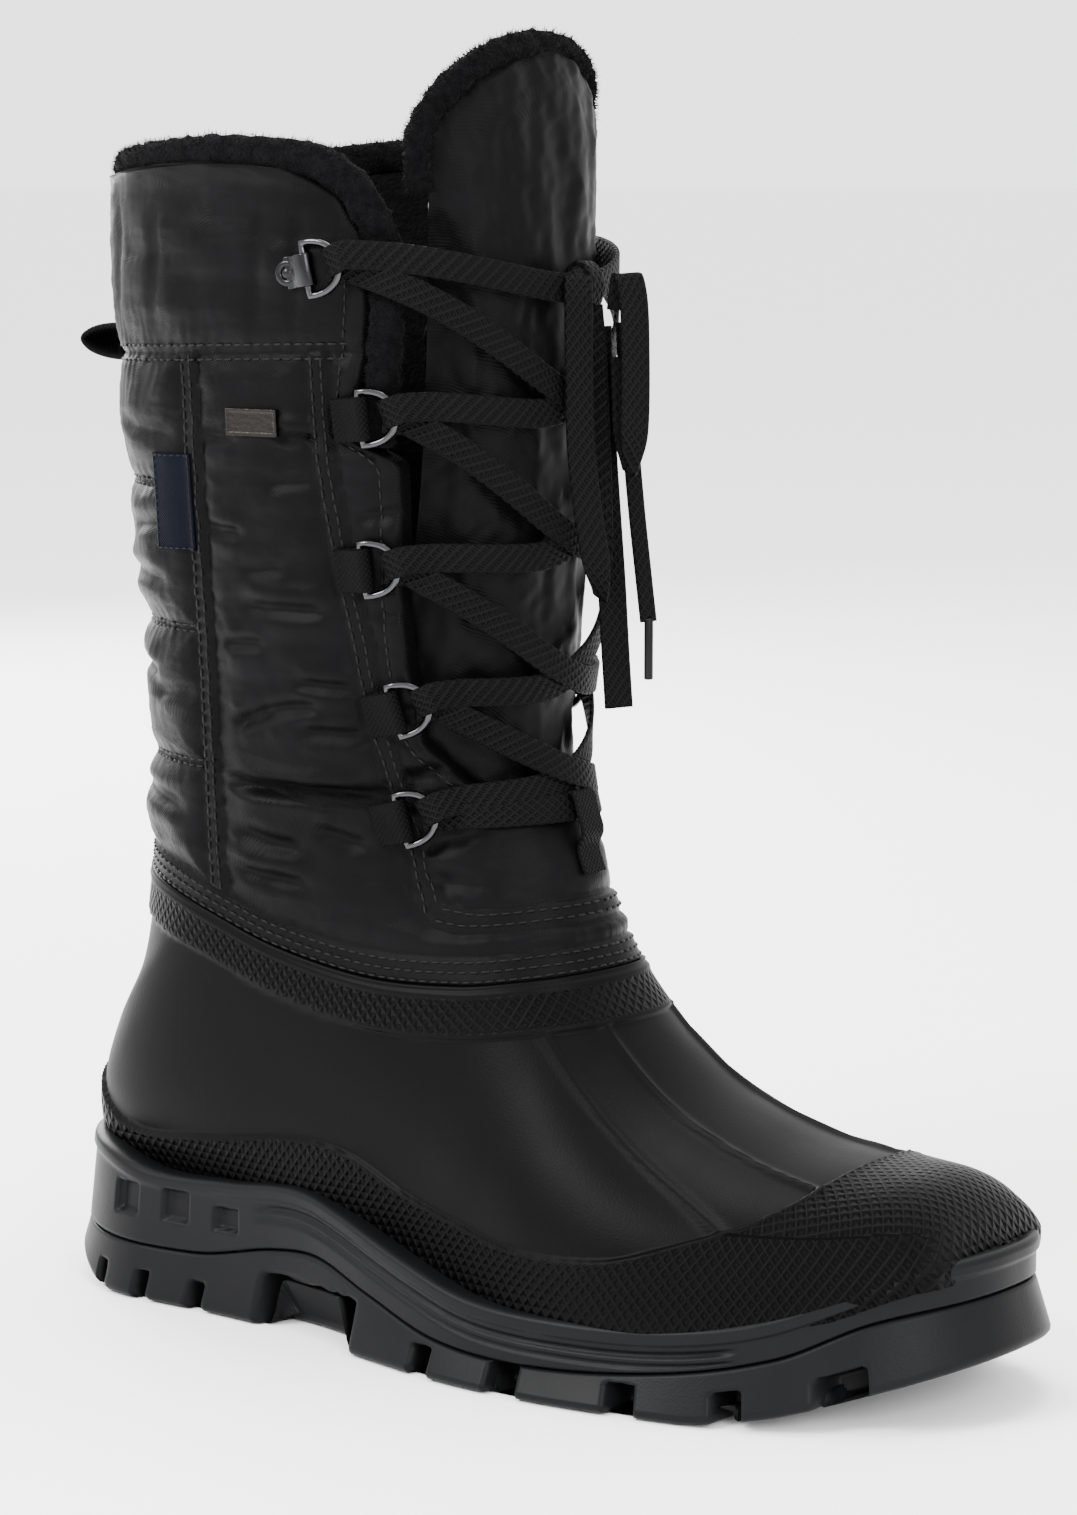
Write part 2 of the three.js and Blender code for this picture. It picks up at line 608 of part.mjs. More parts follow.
// The quilted panels, each a region in side view
function panelRegions() {
  const half = seamWidth / 2;
  const rearX = sharedX(rearSeam);
  const seams = [collarSeamAt, ...quiltLines.map((share) => () => sharedZ(share)), tapeTopAt];
  const rear = seams.slice(1).map((low, i) =>
    between((x) => low(x) + half, (x) => seams[i](x) - half, behind, rearX - half),
  );
  const seamLine = frontSeam.map((row) => [sharedX(row.along), sharedZ(row.height)]);
  const [seamTopX, seamTopZ] = seamLine[0];
  const lower = seamLine.slice(1);
  const facing = sideCut([
    [seamTopX, seamTopZ - half],
    ...lower,
    [lower[lower.length - 1][0], seamTopZ - half],
  ]);
  const tapeLine = [0.3, 0.35, 0.4, 0.45, 0.5, 0.55, 0.6, 0.66].map((share) => {
    const x = sharedX(share);
    return [x, tapeTopAt(x) + half];
  });
  const middle = sideCut([
    [rearX + half, collarSeamAt(rearX) - half],
    [rearX + half, tapeTopAt(rearX) + half],
    ...tapeLine,
    ...[...lower].reverse().map(([x, z]) => [x - seamWidth * 0.9, z - seamWidth * 0.7]),
    [seamTopX - seamWidth, seamTopZ - half],
  ]);
  const collar = between((x) => collarSeamAt(x) + half, () => collarHeight + through);
  return joined([...rear, facing, middle, collar]);
}

function shaft() {
  const puffed = formSolid(quiltStep, shaftStart).intersect(panelRegions());
  const wall = shaftForm
    .add(puffed)
    .subtract(shaftHollow)
    .intersect(between((x) => shellTopAt(x) + gap, (x) => collarRimAt(x) - bindingWidth));
  const skirt = formSolid(-rubberWall - gap, shaftStart, ankle)
    .subtract(shaftHollow)
    .intersect(between((x) => shellTopAt(x) - lap, (x) => shellTopAt(x) + 1));
  return wall.add(skirt).subtract(frontCut(throatOutline(bindingWidth), throatBack));
}

function collarBinding() {
  const covered = between(() => 0, (x) => collarRimAt(x) - bindingWidth + gap).subtract(
    frontCut(throatOutline(bindingWidth - gap), throatBack),
  );
  return formSolid(quiltStep, ankle)
    .subtract(formSolid(-shaftWall - 1, ankle))
    .intersect(between(() => sharedZ(bindingEnd), collarRimAt))
    .subtract(frontCut(throatOutline(0), throatBack))
    .subtract(covered);
}

// The tongue in front view: straight sides up to the collar, and a rounded top
const tongueHalf = 0.8; // of half the shaft's width
const tongueFoot = 1.17; // height share of its lower edge
const tongueRoundness = 2.1;
const tongueCollar = collarHeight + 1; // where the tongue comes out of the collar
function tongueOutline(inset, steps = 8) {
  const shoulder = collarHeight + 3;
  const side = [[tongueHalf * halfShaft * 0.9, sharedZ(tongueFoot)]];
  for (let i = 0; i <= steps; i++) {
    const turn = (Math.PI / 2) * (i / steps);
    const power = 2 / tongueRoundness;
    side.push([
      (tongueHalf * halfShaft - inset) * Math.pow(Math.cos(turn), power) + 0.01,
      shoulder + (tongueHeight - inset - shoulder) * Math.pow(Math.sin(turn), power),
    ]);
  }
  return [...side, ...side.map(([y, z]) => [-y, z]).reverse()];
}
const tongueBack = sharedX(0.415); // above the collar the tongue's sides reach back to here
const tongueDepth = shaftWall + 1.5; // how far the tongue lies inside the form, under the facings
const throatClearance = 2;
const tongueInset = 1.5; // how far its front lies inside the form, in the throat
const frontWall = tongueWall + 1.5;
const tongueFront = formSolid(-tongueInset, shaftStart).subtract(
  formSolid(-tongueInset - frontWall, shaftStart),
);

function tongue() {
  const beneath = everything(0, tongueCollar);
  const under = formSolid(-tongueDepth, shaftStart)
    .subtract(formSolid(-tongueDepth - tongueWall, shaftStart))
    .intersect(frontCut(tongueOutline(0), throatBack).intersect(beneath));
  const throatRegion = frontCut(throatOutline(-throatClearance, true), throatBack).intersect(beneath);
  const above = frontCut(tongueOutline(tongueBindingWidth + gap), tongueBack).subtract(beneath);
  return under.add(tongueFront.intersect(throatRegion.add(above)));
}

function tongueBinding() {
  const rim = frontCut(tongueOutline(0), tongueBack).subtract(
    frontCut(tongueOutline(tongueBindingWidth), throatBack),
  );
  return tongueFront.intersect(rim).subtract(everything(0, tongueCollar + gap));
}

// A tape of even width and thickness through places that each have a point and a normal
function ribbon(places, width, thickness) {
  const rings = places.map(({ point, normal }, i) => {
    const before = places[Math.max(i - 1, 0)].point;
    const after = places[Math.min(i + 1, places.length - 1)].point;
    const direction = after.clone().sub(before).normalize();
    const across = direction.clone().cross(normal).normalize().multiplyScalar(width / 2);
    const out = across.clone().cross(direction).normalize().multiplyScalar(thickness / 2);
    return [
      [1, 1],
      [-1, 1],
      [-1, -1],
      [1, -1],
    ].map(([a, b]) => point.clone().addScaledVector(across, a).addScaledVector(out, b));
  });
  return solidOf(loft(rings));
}

// Rings: the bar's place on the shaft's side, as shares of the sole's length and between instep and collar, and
// the angle in degrees by which its top leans back
const ringPlaces = [
  { along: 0.383, height: 1.88, lean: 10 },
  { along: 0.426, height: 1.701, lean: 6 },
  { along: 0.421, height: 1.516, lean: 6 },
  { along: 0.436, height: 1.34, lean: 15 },
  { along: 0.433, height: 1.199, lean: 15 },
];
const holeRadius = wireWidth / 2 + gap;
const ringOffset = quiltStep + gap + webThickness + holeRadius;
function ringAt(side, { along: share, height, lean }) {
  const place = onSide(side, sharedX(share), sharedZ(height));
  const turn = (-side * lean * Math.PI) / 180;
  place.forward.applyAxisAngle(place.normal, turn);
  place.up.applyAxisAngle(place.normal, turn);
  return place;
}

// A point given in a place's own directions: forward, up and outwards
const fromPlace = (place, forward, up, out) =>
  place.point
    .clone()
    .addScaledVector(place.forward, forward)
    .addScaledVector(place.up, up)
    .addScaledVector(place.normal, out);

function dRing(place) {
  const half = (ringHeight - wireWidth) / 2;
  const reach = ringReach - wireWidth;
  const arcSteps = 7;
  const path = [[0, 0]];
  for (let i = 0; i <= arcSteps; i++) {
    const turn = Math.PI * (i / arcSteps - 0.5);
    path.push([reach * Math.cos(turn), -half * Math.sin(turn)]);
  }
  const sides = 4;
  const rings = path.map(([u, w], i) => {
    const [beforeU, beforeW] = path[(i + path.length - 1) % path.length];
    const [afterU, afterW] = path[(i + 1) % path.length];
    const length = Math.hypot(afterU - beforeU, afterW - beforeW);
    const outU = (afterW - beforeW) / length;
    const outW = -(afterU - beforeU) / length;
    return Array.from({ length: sides }, (_, k) => {
      const turn = (2 * Math.PI * k) / sides;
      const aside = (Math.cos(turn) * wireWidth) / 2;
      const out = ringOffset + (Math.sin(turn) * wireWidth) / 2;
      return fromPlace(place, u + outU * aside, w + outW * aside, out);
    });
  });
  return solidOf(loft(rings, true));
}

// A folded tab that holds a ring's bar: a profile in the forward and outward directions, run along the bar
const bedding = 1.2; // how far its underside would reach into the panel before it is cut to fit
function tabAround(place, length, width, thickness) {
  const outer = holeRadius + thickness;
  const profile = [
    [-length, ringOffset - outer - bedding],
    [0, ringOffset - outer - bedding],
  ];
  for (let i = 1; i < 6; i++) {
    const turn = Math.PI * (i / 6 - 0.5);
    profile.push([outer * Math.cos(turn), ringOffset + outer * Math.sin(turn)]);
  }
  profile.push([0, ringOffset + outer], [-length * 0.45, ringOffset]);
  profile.push([-length, ringOffset - outer + 2 * thickness]);
  const hole = Array.from({ length: 8 }, (_, i) => {
    const turn = (Math.PI * i) / 4;
    return new THREE.Vector2(holeRadius * Math.cos(turn), ringOffset + holeRadius * Math.sin(turn));
  });
  const shape = new THREE.Shape(profile.map(([u, v]) => new THREE.Vector2(u, v)));
  shape.holes.push(new THREE.Path(hole));
  const geometry = new THREE.ExtrudeGeometry(shape, { depth: width, bevelEnabled: false });
  const turned = new THREE.Matrix4()
    .makeBasis(place.forward, place.normal, place.up)
    .setPosition(fromPlace(place, 0, -width / 2, 0));
  return solidOf(geometry.applyMatrix4(turned));
}

const panelSkin = formSolid(quiltStep + gap, shaftStart);
const asPlaced = (geometry, place, forward, up, out) =>
  solidOf(
    geometry.applyMatrix4(
      new THREE.Matrix4()
        .makeBasis(place.forward, place.up, place.normal)
        .setPosition(fromPlace(place, forward, up, out)),
    ),
  );

function webTab(place) {
  return tabAround(place, tabLength, tabWidth, webThickness).subtract(panelSkin);
}

function ringClip(place) {
  const rivet = new THREE.CylinderGeometry(rivetWidth * 0.3, rivetWidth / 2, 3, 8).rotateX(Math.PI / 2);
  return tabAround(place, rivetWidth, tabWidth * 0.75, webThickness * 0.8)
    .add(asPlaced(rivet, place, -rivetWidth * 0.6, 0, quiltStep + gap + 1.6))
    .subtract(panelSkin);
}

// A metal plate on the middle panel, and a woven label in the rear seam, both on the outer side
const platePlace = { along: 0.319, height: 1.692 };
const labelPlace = { along: 0.215, height: 1.586 };
const trimRise = 0.5; // how far the plate's flat back stands off the curved panel
function sidePlate() {
  const place = onSide(-1, sharedX(platePlace.along), sharedZ(platePlace.height));
  const top = quiltStep + gap + trimRise + plateThickness;
  const plate = new THREE.BoxGeometry(plateLength, plateHeight, top);
  return asPlaced(plate, place, 0, 0, top / 2).subtract(panelSkin);
}
function sideLabel() {
  const place = onSide(-1, sharedX(labelPlace.along), sharedZ(labelPlace.height));
  const patch = asPlaced(new THREE.BoxGeometry(labelWidth, labelHeight, halfShaft), place, 0, 0, 0);
  return formSolid(quiltStep + gap + labelThickness, shaftStart).intersect(patch).subtract(panelSkin);
}

// The pull loop behind the collar: a folded tape in side view, as shares of its reach and of its half height
const loopHeight = 1.773;
const loopHalf = 5;
const loopFold = [
  { out: -0.4, rise: 1 },
  { out: 0.45, rise: 0.95 },
  { out: 0.8, rise: 0.65 },
  { out: 1, rise: 0.1 },
  { out: 0.85, rise: -0.5 },
  { out: 0.5, rise: -0.9 },
  { out: -0.4, rise: -1 },
];
function pullLoop() {
  const middle = onForm({ y: 0, z: sharedZ(loopHeight) }, { station: 22, angle: Math.PI }).point;
  const fold = (thickness) =>
    loopFold.map(({ out, rise }) => [
      middle.x - quiltStep - out * (loopReach - (out > 0 ? thickness : 0)),
      middle.z + rise * (loopHalf - thickness),
    ]);
  const shape = new THREE.Shape(
    [...fold(0), ...fold(webThickness * 1.4).reverse()].map(([x, z]) => new THREE.Vector2(x, z)),
  );
  const tape = new THREE.ExtrudeGeometry(shape, { depth: loopWidth, bevelEnabled: false });
  return solidOf(tape.rotateX(Math.PI / 2).translate(0, loopWidth / 2, 0)).subtract(panelSkin);
}

// Lacing: each strand runs from a ring's front over the tongue's middle, at a height share, to a ring's front
const laceOffset = quiltStep + 3;
const laceClearance = 2.5; // from a ring to the strand's end
const crossings = [1.715, 1.543, 1.376, 1.249];
const strandSteps = 6;
const apart = 2; // how far a ring's two strands leave it above and below its middle

// The strap that holds the lowest strand down, by its offset from the form and its height
const keeperPath = [
  { height: 1.222, offset: laceOffset + 1.8 },
  { height: 1.17, offset: laceOffset + 1.8 },
  { height: 1.155, offset: quiltStep + 1.6 },
  { height: 1.125, offset: quiltStep + 1 },
];
function laceKeeper() {
  const places = keeperPath.map(({ height, offset }) => {
    const place = onFront(0, sharedZ(height));
    place.point.addScaledVector(place.normal, offset);
    return place;
  });
  return ribbon(places, keeperWidth, webThickness);
}

function strand(from, fromRise, to, toRise, middle) {
  const rows = [
    { across: from.y, height: from.z + fromRise },
    { across: 0, height: middle },
    { across: to.y, height: to.z + toRise },
  ];
  const places = Array.from({ length: strandSteps + 1 }, (_, i) => {
    const across = from.y + ((to.y - from.y) * i) / strandSteps;
    const place = onFront(across, along(rows, "across", "height", across));
    place.point.addScaledVector(place.normal, laceOffset);
    return place;
  });
  return ribbon(places, laceWidth, laceThickness);
}
const ringFront = (side, row) => fromPlace(ringAt(side, row), ringReach + laceClearance, 0, 0);
const frontsOf = (side) => ringPlaces.map((row) => ringFront(side, row));

// The bow hangs from a knot in front of the tongue, flat towards the boot's outer side. Its pieces are drawn
// from the knot: out and aside in lace widths, and down as a share of the bow's drop.
const knotHeight = 1.855;
const knotRadii = [5, 7.5, 7];
const bowDrop = 115;
const knotPlace = onFront(1, sharedZ(knotHeight));
const knotMiddle = knotPlace.point.clone().addScaledVector(knotPlace.normal, laceOffset + laceThickness);
const outerLoop = [
  { out: 0.6, aside: -0.3, down: -0.03 },
  { out: 0.95, aside: -0.36, down: 0.03 },
  { out: 1.0, aside: -0.35, down: 0.18 },
  { out: 1.0, aside: -0.3, down: 0.35 },
  { out: 1.02, aside: -0.1, down: 0.5 },
  { out: 1.04, aside: 0.2, down: 0.63 },
  { out: 0.98, aside: 0.4, down: 0.7 },
  { out: 0.74, aside: 0.48, down: 0.73 },
  { out: 0.5, aside: 0.5, down: 0.7 },
  { out: 0.42, aside: 0.48, down: 0.6 },
  { out: 0.45, aside: 0.42, down: 0.45 },
  { out: 0.45, aside: 0.32, down: 0.3 },
  { out: 0.45, aside: 0.22, down: 0.15 },
  { out: 0.45, aside: 0.08, down: 0.04 },
];
const innerLoop = [
  { out: 0.5, aside: 1.2, down: 0.05 },
  { out: 0.8, aside: 1.28, down: -0.03 },
  { out: 1.05, aside: 1.35, down: -0.03 },
  { out: 1.16, aside: 1.5, down: 0.03 },
  { out: 1.16, aside: 1.56, down: 0.15 },
  { out: 1.16, aside: 1.56, down: 0.28 },
  { out: 1.12, aside: 1.5, down: 0.38 },
  { out: 0.9, aside: 1.42, down: 0.43 },
  { out: 0.68, aside: 1.38, down: 0.39 },
  { out: 0.64, aside: 1.36, down: 0.28 },
  { out: 0.6, aside: 1.3, down: 0.16 },
];
const outerEnd = [
  { out: 0.1, aside: 0.5, down: 0.09 },
  { out: 0.1, aside: 0.58, down: 0.25 },
  { out: 0.1, aside: 0.7, down: 0.4 },
  { out: 0.1, aside: 0.85, down: 0.55 },
  { out: 0.15, aside: 1.0, down: 0.7 },
  { out: 0.2, aside: 1.12, down: 0.85 },
  { out: 0.25, aside: 1.25, down: 1.0 },
];
const innerEnd = [
  { out: 0.25, aside: 1.4, down: 0.08 },
  { out: 0.25, aside: 1.48, down: 0.2 },
  { out: 0.3, aside: 1.6, down: 0.35 },
  { out: 0.4, aside: 1.8, down: 0.52 },
  { out: 0.6, aside: 2.0, down: 0.67 },
  { out: 0.8, aside: 2.15, down: 0.79 },
];
const tipLength = 17;
const bowOut = new THREE.Vector3(0.75, -0.66, 0).normalize();
const bowAside = new THREE.Vector3(0, 0, 1).cross(bowOut);
const bowPoint = ({ out, aside, down }) =>
  knotMiddle
    .clone()
    .addScaledVector(bowOut, out * laceWidth)
    .addScaledVector(bowAside, aside * laceWidth)
    .setZ(knotMiddle.z - down * bowDrop);
const knotSolid = (grow) =>
  solidOf(
    new THREE.IcosahedronGeometry(1, 1)
      .scale(...knotRadii.map((radius) => radius + grow))
      .translate(...knotMiddle),
  );
function bowPiece(rows, width = laceWidth) {
  const points = rows.map(bowPoint);
  const places = points.map((point, i) => {
    const before = points[Math.max(i - 1, 0)];
    const after = points[Math.min(i + 1, points.length - 1)];
    return { point, normal: bowAside.clone().cross(after.clone().sub(before)).normalize() };
  });
  return ribbon(places, width, laceThickness).subtract(knotSolid(gap));
}

function laceTip() {
  const top = bowPoint(innerEnd[innerEnd.length - 1]);
  const tip = new THREE.CylinderGeometry(laceThickness * 0.8, laceThickness * 0.6, tipLength, 8);
  return solidOf(tip.rotateX(Math.PI / 2).translate(top.x, top.y, top.z - gap - tipLength / 2));
}

function laceCrossings() {
  const outer = frontsOf(-1);
  const inner = frontsOf(1);
  const strands = crossings.flatMap((height, i) => [
    strand(outer[i], -apart, inner[i + 1], apart, sharedZ(height)),
    strand(outer[i + 1], apart, inner[i], -apart, sharedZ(height)),
  ]);
  const last = crossings.length;
  strands.push(strand(outer[last], -apart, inner[last], -apart, outer[last].z - apart));
  strands.push(strand(outer[0], apart, inner[0], apart, knotMiddle.z));
  return joined(strands).subtract(knotSolid(gap));
}

const materials = {
  rubber: new THREE.MeshStandardMaterial({ color: 0x2b2c2f, roughness: 0.55, metalness: 0 }),
  nylon: new THREE.MeshStandardMaterial({ color: 0x1b1a1d, roughness: 0.45, metalness: 0 }),
  fleece: new THREE.MeshStandardMaterial({ color: 0x121214, roughness: 1, metalness: 0 }),
  webbing: new THREE.MeshStandardMaterial({ color: 0x161618, roughness: 0.9, metalness: 0 }),
  felt: new THREE.MeshStandardMaterial({ color: 0x2a2a2d, roughness: 1, metalness: 0 }),
  steel: new THREE.MeshStandardMaterial({ color: 0x8a8a8c, roughness: 0.3, metalness: 1 }),
  label: new THREE.MeshStandardMaterial({ color: 0x161c2c, roughness: 0.8, metalness: 0 }),
};
const boot = new THREE.Group();
function add(name, solid, material) {
  const { vertProperties, triVerts } = solid.getMesh();
  const geometry = new THREE.BufferGeometry()
    .setAttribute("position", new THREE.BufferAttribute(new Float32Array(vertProperties), 3))
    .setIndex(new THREE.BufferAttribute(new Uint32Array(triVerts), 1));
  const mesh = new THREE.Mesh(geometry, material.clone());
  mesh.name = name;
  boot.add(mesh);
}

add("outsole", outsole(), materials.rubber);
add("midsole", midsole(), materials.rubber);
add("shell", shell(), materials.rubber);
add("insole", insole(), materials.felt);
add("shaft", shaft(), materials.nylon);
add("collar_binding", collarBinding(), materials.fleece);
add("tongue", tongue(), materials.nylon);
add("tongue_binding", tongueBinding(), materials.fleece);

for (const [side, sideName] of [
  [-1, "outer"],
  [1, "inner"],
])
  ringPlaces.forEach((row, i) => {
    const place = ringAt(side, row);
    add(`ring_${sideName}_${i + 1}`, dRing(place), materials.steel);
    if (i === 0) add(`ring_clip_${sideName}`, ringClip(place), materials.steel);
    else add(`ring_tab_${sideName}_${i + 1}`, webTab(place), materials.webbing);
  });

add("side_plate", sidePlate(), materials.steel);
add("side_label", sideLabel(), materials.label);
add("pull_loop", pullLoop(), materials.webbing);
add("lace_keeper", laceKeeper(), materials.webbing);
add("lace_crossings", laceCrossings(), materials.webbing);
add("lace_knot", knotSolid(0), materials.webbing);
add("bow_loop_outer", bowPiece(outerLoop), materials.webbing);
add("bow_loop_inner", bowPiece(innerLoop), materials.webbing);
add("lace_end_outer", bowPiece(outerEnd), materials.webbing);
add("lace_end_inner", bowPiece(innerEnd, laceWidth * 0.6), materials.webbing);
add("lace_tip", laceTip(), materials.nylon);

export default boot;
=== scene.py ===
import math

import bmesh
import bpy
import numpy as np
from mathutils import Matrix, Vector
from mathutils.bvhtree import BVHTree


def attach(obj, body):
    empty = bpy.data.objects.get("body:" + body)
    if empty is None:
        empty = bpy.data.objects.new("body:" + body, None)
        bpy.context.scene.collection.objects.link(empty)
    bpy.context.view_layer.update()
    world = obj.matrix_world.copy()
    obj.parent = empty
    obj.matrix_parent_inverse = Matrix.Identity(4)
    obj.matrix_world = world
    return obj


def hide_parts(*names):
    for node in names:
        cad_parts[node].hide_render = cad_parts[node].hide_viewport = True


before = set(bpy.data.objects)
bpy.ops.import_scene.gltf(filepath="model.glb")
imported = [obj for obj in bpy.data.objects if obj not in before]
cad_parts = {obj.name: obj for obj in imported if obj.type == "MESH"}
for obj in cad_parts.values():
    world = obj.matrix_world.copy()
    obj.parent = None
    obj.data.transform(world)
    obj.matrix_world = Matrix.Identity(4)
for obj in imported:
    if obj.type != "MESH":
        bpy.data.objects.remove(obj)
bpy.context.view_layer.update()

# The camera
camera = {
    "target": (0.112, 0.0, 0.163),
    "azimuth": 36,  # degrees, from the boot's side towards its toe
    "elevation": 8.3,
    "distance": 1.15,
    "focalPixels": 4138,  # in a picture 1515 pixels high
    "pictureHeight": 1515,
    "sensorHeight": 36,
    "clip": (0.05, 60),
}
turn = math.radians(camera["azimuth"])
rise = math.radians(camera["elevation"])
bpy.ops.object.select_all(action="DESELECT")
bpy.ops.object.camera_add()
eye = bpy.context.object
target = Vector(camera["target"])
eye.location = target + camera["distance"] * Vector(
    (math.sin(turn) * math.cos(rise), -math.cos(turn) * math.cos(rise), math.sin(rise))
)
eye.rotation_euler = (target - eye.location).to_track_quat("-Z", "Y").to_euler()
eye.data.sensor_fit = "VERTICAL"
eye.data.sensor_height = camera["sensorHeight"]
eye.data.lens = camera["focalPixels"] / camera["pictureHeight"] * camera["sensorHeight"]
eye.data.clip_start, eye.data.clip_end = camera["clip"]
bpy.context.scene.camera = eye
print("camera placed")

# The boot's driving sizes, in millimetres, and its walls and steps
boot = {
    "soleLength": 300,
    "heelReach": 40,
    "halfBall": 56,
    "halfShaft": 55,
    "heelHeight": 38,
    "instepHeight": 104,
    "collarHeight": 325,
    "tongueHeight": 363,
    "rubberWall": 3,
    "shaftWall": 5,
    "rubberStep": 1.3,
    "quiltStep": 1.6,
    "bindingWidth": 9,
    "tapeHeight": 9,
}


def sharedX(share):
    return np.asarray(share, float) * boot["soleLength"] - boot["heelReach"]


def shareOf(x):
    return (np.asarray(x, float) + boot["heelReach"]) / boot["soleLength"]


def sharedZ(share):  # up to 1 a share of the instep's height, and from 1 to 2 up the shaft
    share = np.asarray(share, float)
    above = boot["collarHeight"] - boot["instepHeight"]
    return np.where(share <= 1, share * boot["instepHeight"], boot["instepHeight"] + (share - 1) * above)


def smoothAlong(keys, values, at):  # a smooth curve through a table's rows
    keys = np.asarray(keys, float)
    rows = np.asarray(values, float)
    table = rows if rows.ndim > 1 else rows[:, None]
    at = np.asarray(at, float)
    slopes = np.empty_like(table)
    slopes[1:-1] = (table[2:] - table[:-2]) / (keys[2:] - keys[:-2])[:, None]
    slopes[0] = (table[1] - table[0]) / (keys[1] - keys[0])
    slopes[-1] = (table[-1] - table[-2]) / (keys[-1] - keys[-2])
    i = np.clip(np.searchsorted(keys, at, side="right") - 1, 0, len(keys) - 2)
    span = keys[i + 1] - keys[i]
    t = np.clip((at - keys[i]) / span, 0, 1)[..., None]
    blend = t * t * (3 - 2 * t)
    curve = table[i] * (1 - blend) + table[i + 1] * blend
    curve = curve + span[..., None] * (slopes[i] * (t**3 - 2 * t**2 + t) + slopes[i + 1] * (t**3 - t**2))
    return curve if rows.ndim > 1 else curve[..., 0]


def lengthsAlong(points):
    return np.r_[0, np.linalg.norm(np.diff(points, axis=0), axis=1).cumsum()]


def evenAlong(points, count):  # the same route, with points at even steps
    lengths = lengthsAlong(points)
    return smoothAlong(lengths, points, np.linspace(0, lengths[-1], count))


def lineThrough(rows, scale=1.0):  # a line given by rows of (share, value)
    keys, values = np.array(rows, float).T
    return lambda share: smoothAlong(keys, values, share) * scale


# Sections of the form from the toe, over the instep and up the shaft, as in the CAD:
# topX, topZ, lowX, lowZ, outer, inner, axis, widest, crown, base
sectionShares = [
    (0.972, 0.42, 0.972, 0.375, 0.03, 0.03, 0.2, 0.45, 2, 2),
    (0.966, 0.485, 0.966, 0.335, 0.43, 0.39, 0.2, 0.42, 2.1, 2.6),
    (0.948, 0.54, 0.948, 0.31, 0.53, 0.515, 0.18, 0.38, 2.2, 3.2),
    (0.918, 0.575, 0.918, 0.265, 0.64, 0.64, 0.16, 0.35, 2.2, 4),
    (0.863, 0.59, 0.86, 0.21, 0.79, 0.785, 0.13, 0.33, 2.2, 4.6),
    (0.783, 0.63, 0.777, 0.165, 0.93, 0.88, 0.09, 0.31, 2.15, 5),
    (0.7, 0.73, 0.69, 0.145, 0.98, 0.86, 0.05, 0.29, 2.05, 5),
    (0.64, 0.875, 0.6, 0.15, 0.95, 0.77, 0.03, 0.28, 2, 5),
    (0.603, 1.01, 0.51, 0.19, 0.85, 0.68, 0.01, 0.3, 2, 4.6),
    (0.58, 1.075, 0.42, 0.25, 0.77, 0.64, 0, 0.34, 2, 4.2),
    (0.56, 1.135, 0.32, 0.295, 0.735, 0.65, 0, 0.37, 2, 4),
    (0.543, 1.19, 0.22, 0.29, 0.72, 0.68, 0, 0.4, 2.05, 3.6),
    (0.533, 1.24, 0.115, 0.3, 0.72, 0.7, 0, 0.42, 2.1, 3.2),
    (0.528, 1.29, 0.038, 0.36, 0.73, 0.715, 0, 0.44, 2.15, 2.8),
    (0.527, 1.335, 0.007, 0.48, 0.74, 0.735, 0, 0.46, 2.2, 2.4),
    (0.528, 1.38, 0.02, 0.645, 0.755, 0.755, 0, 0.47, 2.25, 2.2),
    (0.53, 1.43, 0.056, 0.83, 0.78, 0.78, 0, 0.47, 2.3, 2.15),
    (0.531, 1.485, 0.074, 1.025, 0.82, 0.82, 0, 0.47, 2.3, 2.1),
    (0.532, 1.545, 0.086, 1.155, 0.85, 0.85, 0, 0.47, 2.35, 2.1),
    (0.533, 1.62, 0.092, 1.28, 0.88, 0.88, 0, 0.47, 2.4, 2.1),
    (0.533, 1.7, 0.087, 1.42, 0.92, 0.92, 0, 0.47, 2.4, 2.1),
    (0.533, 1.8, 0.073, 1.59, 0.96, 0.96, 0, 0.47, 2.4, 2.1),
    (0.533, 1.91, 0.0615, 1.79, 0.99, 0.99, 0, 0.47, 2.4, 2.1),
    (0.531, 2.02, 0.06, 2.02, 1, 1, 0, 0.47, 2.4, 2.1),
    (0.524, 2.12, 0.06, 2.12, 1, 1, 0, 0.47, 2.4, 2.1),
    (0.5, 2.22, 0.06, 2.22, 1, 1, 0, 0.47, 2.4, 2.1),
]
firstShaftSection = 17
sections = np.array(sectionShares, float)
sections[:, [0, 2]] = sharedX(sections[:, [0, 2]])
sections[:, [1, 3]] = sharedZ(sections[:, [1, 3]])
sections[:firstShaftSection, 4:6] *= boot["halfBall"]
sections[firstShaftSection:, 4:6] *= boot["halfShaft"]
sections[:, 6] *= boot["halfBall"]
stationKeys = np.arange(len(sections), dtype=float)
instepStation = 7.0  # from here on the stations climb the instep and the shaft
lastStation = stationKeys[-1]


def formPoint(station, angle):  # angle 0 is the top or front line, and it turns to the outer side
    station, angle = np.broadcast_arrays(np.asarray(station, float), np.asarray(angle, float))
    columns = np.moveaxis(smoothAlong(stationKeys, sections, station), -1, 0)
    topX, topZ, lowX, lowZ, outer, inner, axis, widest, crown, base = columns
    up = np.cos(angle)
    across = np.sin(angle)
    power = 2 / np.where(up >= 0, crown, base)
    reach = np.abs(up) ** power
    risen = np.where(up >= 0, widest + (1 - widest) * reach, widest - widest * reach)
    width = np.abs(across) ** power * np.where(across >= 0, -outer, inner)
    return np.stack([lowX + (topX - lowX) * risen, axis + width, lowZ + (topZ - lowZ) * risen], -1)


def unit(vectors):
    return vectors / np.maximum(np.linalg.norm(vectors, axis=-1, keepdims=True), 1e-9)


